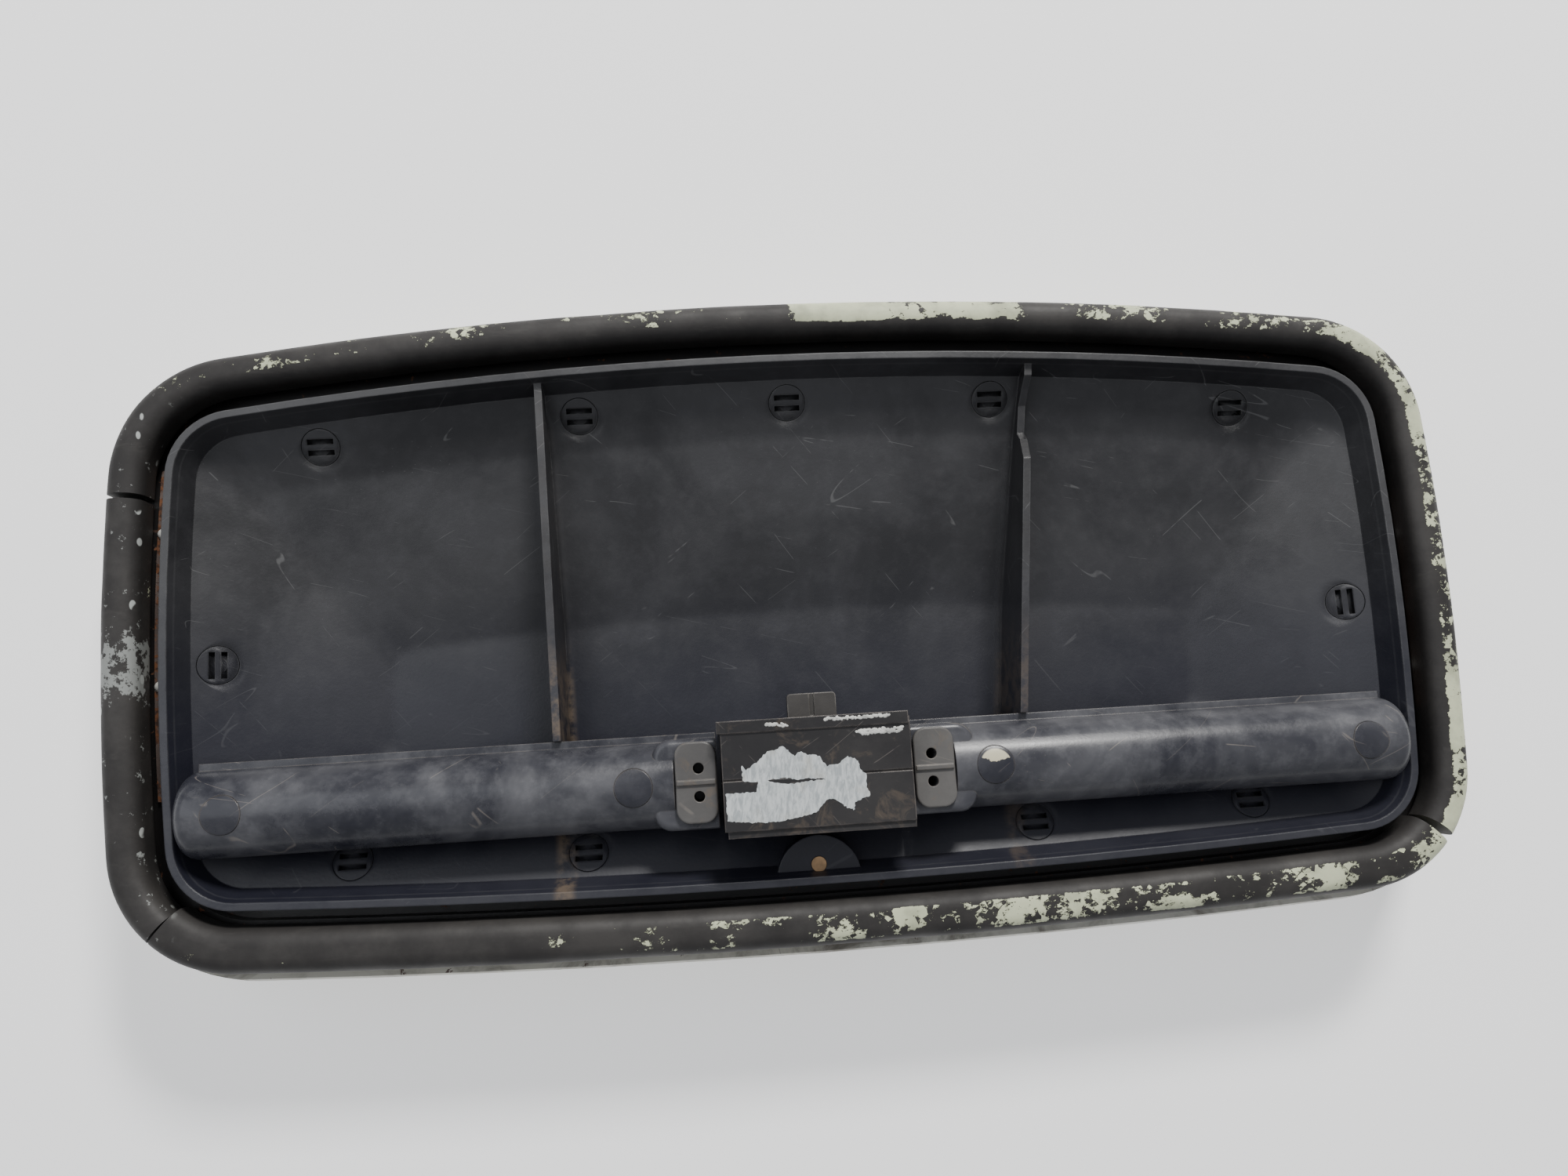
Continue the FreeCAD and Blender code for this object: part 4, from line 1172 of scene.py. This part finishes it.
@dataclass
class ButtonGrip:
    """Raised rings on the push button's face, so that a thumb holds it."""

    centre_y: float = -54.0 * MM
    face_height: float = 1.15 * MM
    radii: tuple[float, ...] = (5.0 * MM, 7.4 * MM, 9.8 * MM)

    def tree(self, material: bpy.types.Material) -> GeoTree:
        """The tree that turns circles into half-sunk wires.

        Args:
            material: The button's plastic.

        Returns:
            The tree, with the input Wire.
        """
        g = GeoTree("grip_rings")
        wire = g.size("Wire", 0.45 * MM)
        ring = g.node("GeometryNodeCurvePrimitiveCircle", Resolution=72, Radius=1.0)
        combined = g.node("ShaderNodeCombineXYZ")
        for socket in combined.inputs[:2]:
            reach = g.node("GeometryNodeInputNamedAttribute", {"data_type": "FLOAT"}, Name="reach")
            g.plug(socket, reach.outputs[0])
        combined.inputs[2].default_value = 1.0
        placed = g.node("GeometryNodeInstanceOnPoints", Points=g.inputs.outputs[0], Instance=ring.outputs[0],
                        Scale=combined.outputs[0])
        real = g.node("GeometryNodeRealizeInstances", Geometry=placed.outputs[0])
        section = g.node("GeometryNodeCurvePrimitiveCircle", Resolution=10, Radius=wire)
        swept = g.node("GeometryNodeCurveToMesh", Curve=real.outputs[0], Profile_Curve=section.outputs[0])
        smooth = g.node("GeometryNodeSetShadeSmooth", Geometry=swept.outputs[0])
        g.close(smooth.outputs[0], material)
        return g

    def build(self, material: bpy.types.Material) -> None:
        """Make the rings on the button.

        Args:
            material: The button's plastic.
        """
        middle = Vector((0.0, self.centre_y, self.face_height))
        source = point_object("grip_points", [middle for _ in self.radii])
        reach = source.data.attributes.new("reach", "FLOAT", "POINT")
        reach.data.foreach_set("value", list(self.radii))
        rings = baked(source, self.tree(material), {"Wire": 0.4 * MM}, "button_grip_rings")
        settle(rings, Body.BUTTON, "button_plastic")


@dataclass
class ReturnSpring:
    """The button's coil."""

    frame: dict[str, Any]
    node: str = "button_spring"
    joint: str = "button_slide"
    wire: float = 0.6 * MM
    turns: float = 3.0

    def tree(self, material: bpy.types.Material) -> GeoTree:
        """The tree that winds an upright coil on each point.

        Args:
            material: The spring steel.

        Returns:
            The tree, with inputs Radius, Height and Wire.
        """
        g = GeoTree("upright_coil")
        radius = g.size("Radius", 9.0 * MM)
        height = g.size("Height", 8.6 * MM)
        wire = g.size("Wire", 0.6 * MM)
        coil = g.node("GeometryNodeCurveSpiral", Resolution=48, Rotations=self.turns, Start_Radius=radius,
                      End_Radius=radius, Height=height)
        section = g.node("GeometryNodeCurvePrimitiveCircle", Resolution=10, Radius=wire)
        swept = g.node("GeometryNodeCurveToMesh", Curve=coil.outputs[0], Profile_Curve=section.outputs[0],
                       Fill_Caps=True)
        smooth = g.node("GeometryNodeSetShadeSmooth", Geometry=swept.outputs[0])
        placed = g.node("GeometryNodeInstanceOnPoints", Points=g.inputs.outputs[0],
                        Instance=smooth.outputs[0])
        g.close(placed.outputs[0], material)
        return g

    def build(self, material: bpy.types.Material) -> None:
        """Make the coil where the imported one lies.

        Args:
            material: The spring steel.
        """
        low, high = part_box(self.node)
        middle = (low + high) / 2
        foot = point_object("spring_foot", [Vector((middle.x, middle.y, low.z + self.wire))])
        sizes = {"Radius": (high.x - low.x) / 2 - self.wire, "Height": high.z - low.z - 2 * self.wire,
                 "Wire": self.wire}
        coil = baked(foot, self.tree(material), sizes, "button_spring_coil")
        settle(coil, Body.LEAF, "spring_steel", self.node)
        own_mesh(coil)


@dataclass
class CadDressing:
    """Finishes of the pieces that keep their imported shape."""

    nodes: dict[str, bpy.types.Object]

    def dress(self, material: bpy.types.Material, *names: str) -> None:
        """Give one finish to some nodes.

        Args:
            material: The finish.
            *names: The nodes.
        """
        for name in names:
            data = self.nodes[name].data
            data.materials.clear()
            data.materials.append(material)
            LOG.info("dressed %s with %s", name, material.name)

    def build(self) -> None:
        """Dress every node."""
        pan = PanPlastic("pan_plastic_hazed", (0.019, 0.019, 0.021), (0.060, 0.060, 0.064),
                         (0.20, 0.20, 0.20), 0.36, haze_share=0.62, scratch_share=0.32, edge_share=0.45)
        # Partly a painted highlight: the rail's haze stands for dust, but its tone is set far brighter than
        # the pan's so that it also stands in for the highlight along the rail.
        rail = MouldedPlastic("rail_plastic_glossy", (0.018, 0.019, 0.027), (0.175, 0.175, 0.185),
                              (0.26, 0.23, 0.20), 0.24, haze_share=0.72, scratch_share=0.4, edge_share=0.4)
        cap = CapPlastic("cap_plastic_glossy", (0.016, 0.017, 0.025), (0.100, 0.100, 0.110),
                         (0.24, 0.21, 0.18), 0.22, haze_share=0.55, scratch_share=0.3, edge_share=0.5)
        pads = MouldedPlastic("pad_plastic_worn", (0.085, 0.082, 0.080), (0.180, 0.172, 0.160),
                              (0.26, 0.23, 0.20), 0.36, scratch_share=0.3, edge_share=0.8, dirt_share=0.4)
        case = MouldedPlastic("case_plastic_worn", (0.020, 0.019, 0.020), (0.046, 0.043, 0.041),
                              (0.24, 0.21, 0.19), 0.34, scratch_share=0.3, edge_share=0.9, dirt_share=0.3)
        bolt = MouldedPlastic("bolt_plastic_worn", (0.040, 0.037, 0.035), (0.085, 0.078, 0.070),
                              (0.32, 0.30, 0.27), 0.42, scratch_share=0.3, edge_share=0.9, dirt_share=0.4)
        button = MouldedPlastic("button_plastic_satin", (0.016, 0.016, 0.018), (0.05, 0.05, 0.05),
                                (0.2, 0.2, 0.2), 0.3)
        self.dress(pan.material(), "inner_pan", "pan_studs")
        self.dress(rail.material(), "grab_rail_right", "grab_rail_left")
        self.dress(cap.material(), "rail_caps")
        self.dress(pads.material(), "mounting_pad_right", "mounting_pad_left")
        self.dress(case.material(), "latch_case", "latch_cover")
        self.dress(bolt.material(), "latch_bolt")
        self.dress(button.material(), "push_button", "plunger")
        self.dress(WeatheredPaint().material(), "outer_cover")
        self.dress(Steel("frame_steel_blackened", (0.012, 0.011, 0.011), 0.3, Grain.ROLLED, 0.0).material(),
                   "carrier_frame")
        self.dress(Steel("strip_steel_primed", (0.15, 0.115, 0.10), 0.42, Grain.RUSTED, 0.0).material(),
                   "edge_strip_left", "edge_strip_right")
        self.dress(Steel("zinc_steel", (0.52, 0.51, 0.49), 0.15).material(),
                   "rail_screws", "case_screws", "frame_rivets")
        self.dress(Steel("spring_steel_bright", (0.6, 0.6, 0.6), 0.05).material(),
                   "button_spring", "plunger_clip")
        self.dress(Steel("bezel_dull_chrome", (0.66, 0.66, 0.65), 0.22).material(), "button_bezel")
        self.dress(SoftStuff("rivet_white_paint", (0.80, 0.79, 0.74), 0.45).material(), "strip_rivets")
        self.dress(SoftStuff("nylon_grey", (0.07, 0.07, 0.075), 0.5).material(), "stud_nuts", "bezel_nut")
        self.dress(SoftStuff("gasket_foam", (0.035, 0.034, 0.033), 0.8).material(),
                   "pan_gasket", "bezel_gasket")
        self.dress(SoftStuff("plug_amber_plastic", (0.58, 0.36, 0.18), 0.45).material(), "boss_plug")


@dataclass
class Studio:
    """Plain floor, soft lights and the camera."""

    floor_half: float = 6.0
    eye: Point = (-34.0 * MM, -45.5 * MM, 430.0 * MM)
    ahead: Point = (0.0724, 0.1391, -0.9876)
    upward: Point = (0.0534, 0.9883, 0.1431)
    lens: float = 26.19

    def floor(self) -> None:
        """Make the pale floor."""
        mesh = bpy.data.meshes.new("floor")
        h = self.floor_half
        mesh.from_pydata([(-h, -h, 0), (h, -h, 0), (h, h, 0), (-h, h, 0)], [], [(0, 1, 2, 3)])
        s = Shader("floor_pale")
        tone = s.mix(s.noise(3.0, 2.0), (0.90, 0.90, 0.90), (0.94, 0.94, 0.94))
        mesh.materials.append(s.finish(tone, 0.9, Emission_Color=(1.0, 1.0, 1.0, 1.0), Emission_Strength=0.5))
        floor = bpy.data.objects.new("floor", mesh)
        bpy.context.scene.collection.objects.link(floor)

    @staticmethod
    def lamp(name: str, place: Point, aim: Point, size: tuple[float, float], power: float,
             tint: Colour) -> None:
        """A rectangular soft light.

        Args:
            name: The light's name.
            place: Where it stands.
            aim: The point that it faces.
            size: Its width and height in metres.
            power: Its power in watts.
            tint: Its colour.
        """
        data = bpy.data.lights.new(name, "AREA")
        data.shape = "RECTANGLE"
        data.size, data.size_y = size
        data.energy = power
        data.color = tint
        made = bpy.data.objects.new(name, data)
        bpy.context.scene.collection.objects.link(made)
        made.location = place
        made.rotation_euler = (Vector(aim) - Vector(place)).to_track_quat("-Z", "Y").to_euler()

    def camera(self) -> None:
        """Set up the camera at the hand-held viewpoint."""
        data = bpy.data.cameras.new("camera")
        data.lens = self.lens
        data.sensor_width = 36.0
        data.clip_start = 0.01
        made = bpy.data.objects.new("camera", data)
        bpy.context.scene.collection.objects.link(made)
        ahead = Vector(self.ahead).normalized()
        right = ahead.cross(Vector(self.upward)).normalized()
        upward = right.cross(ahead)
        turn = Matrix((right, upward, -ahead)).transposed().to_4x4()
        made.matrix_world = Matrix.Translation(Vector(self.eye)) @ turn
        bpy.context.scene.camera = made

    def build(self) -> None:
        """Make the floor, the lights, the sky and the camera."""
        self.floor()
        self.lamp("key", (0.5, 1.75, 1.55), (0.0, 0.0, 0.03), (0.55, 0.4), 62.0, (1.0, 0.985, 0.96))
        self.lamp("fill", (-1.0, 0.5, 1.6), (0.0, 0.0, 0.03), (1.4, 1.4), 9.0, (0.93, 0.96, 1.0))
        world = bpy.data.worlds.new("sky")
        world.use_nodes = True
        world.node_tree.nodes["Background"].inputs[0].default_value = (0.93, 0.95, 1.0, 1.0)
        world.node_tree.nodes["Background"].inputs[1].default_value = 0.42
        bpy.context.scene.world = world
        self.camera()


def main() -> None:
    """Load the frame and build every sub-assembly."""
    logging.basicConfig(level=logging.INFO, format="%(name)s: %(message)s")
    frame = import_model()
    Studio().build()
    CadDressing(frame["nodes"]).build()
    BulbSeal(LeafOutline()).build(FlakedRubber().material())
    TornLabel().build(TornFoil().material())
    PaintCrumbs().build(SoftStuff("chip_white", (0.72, 0.72, 0.68), 0.6).material())
    ButtonGrip().build(bpy.data.materials["button_plastic_satin"])
    ReturnSpring(frame).build(bpy.data.materials["spring_steel_bright"])


if __name__ == "__main__":
    main()
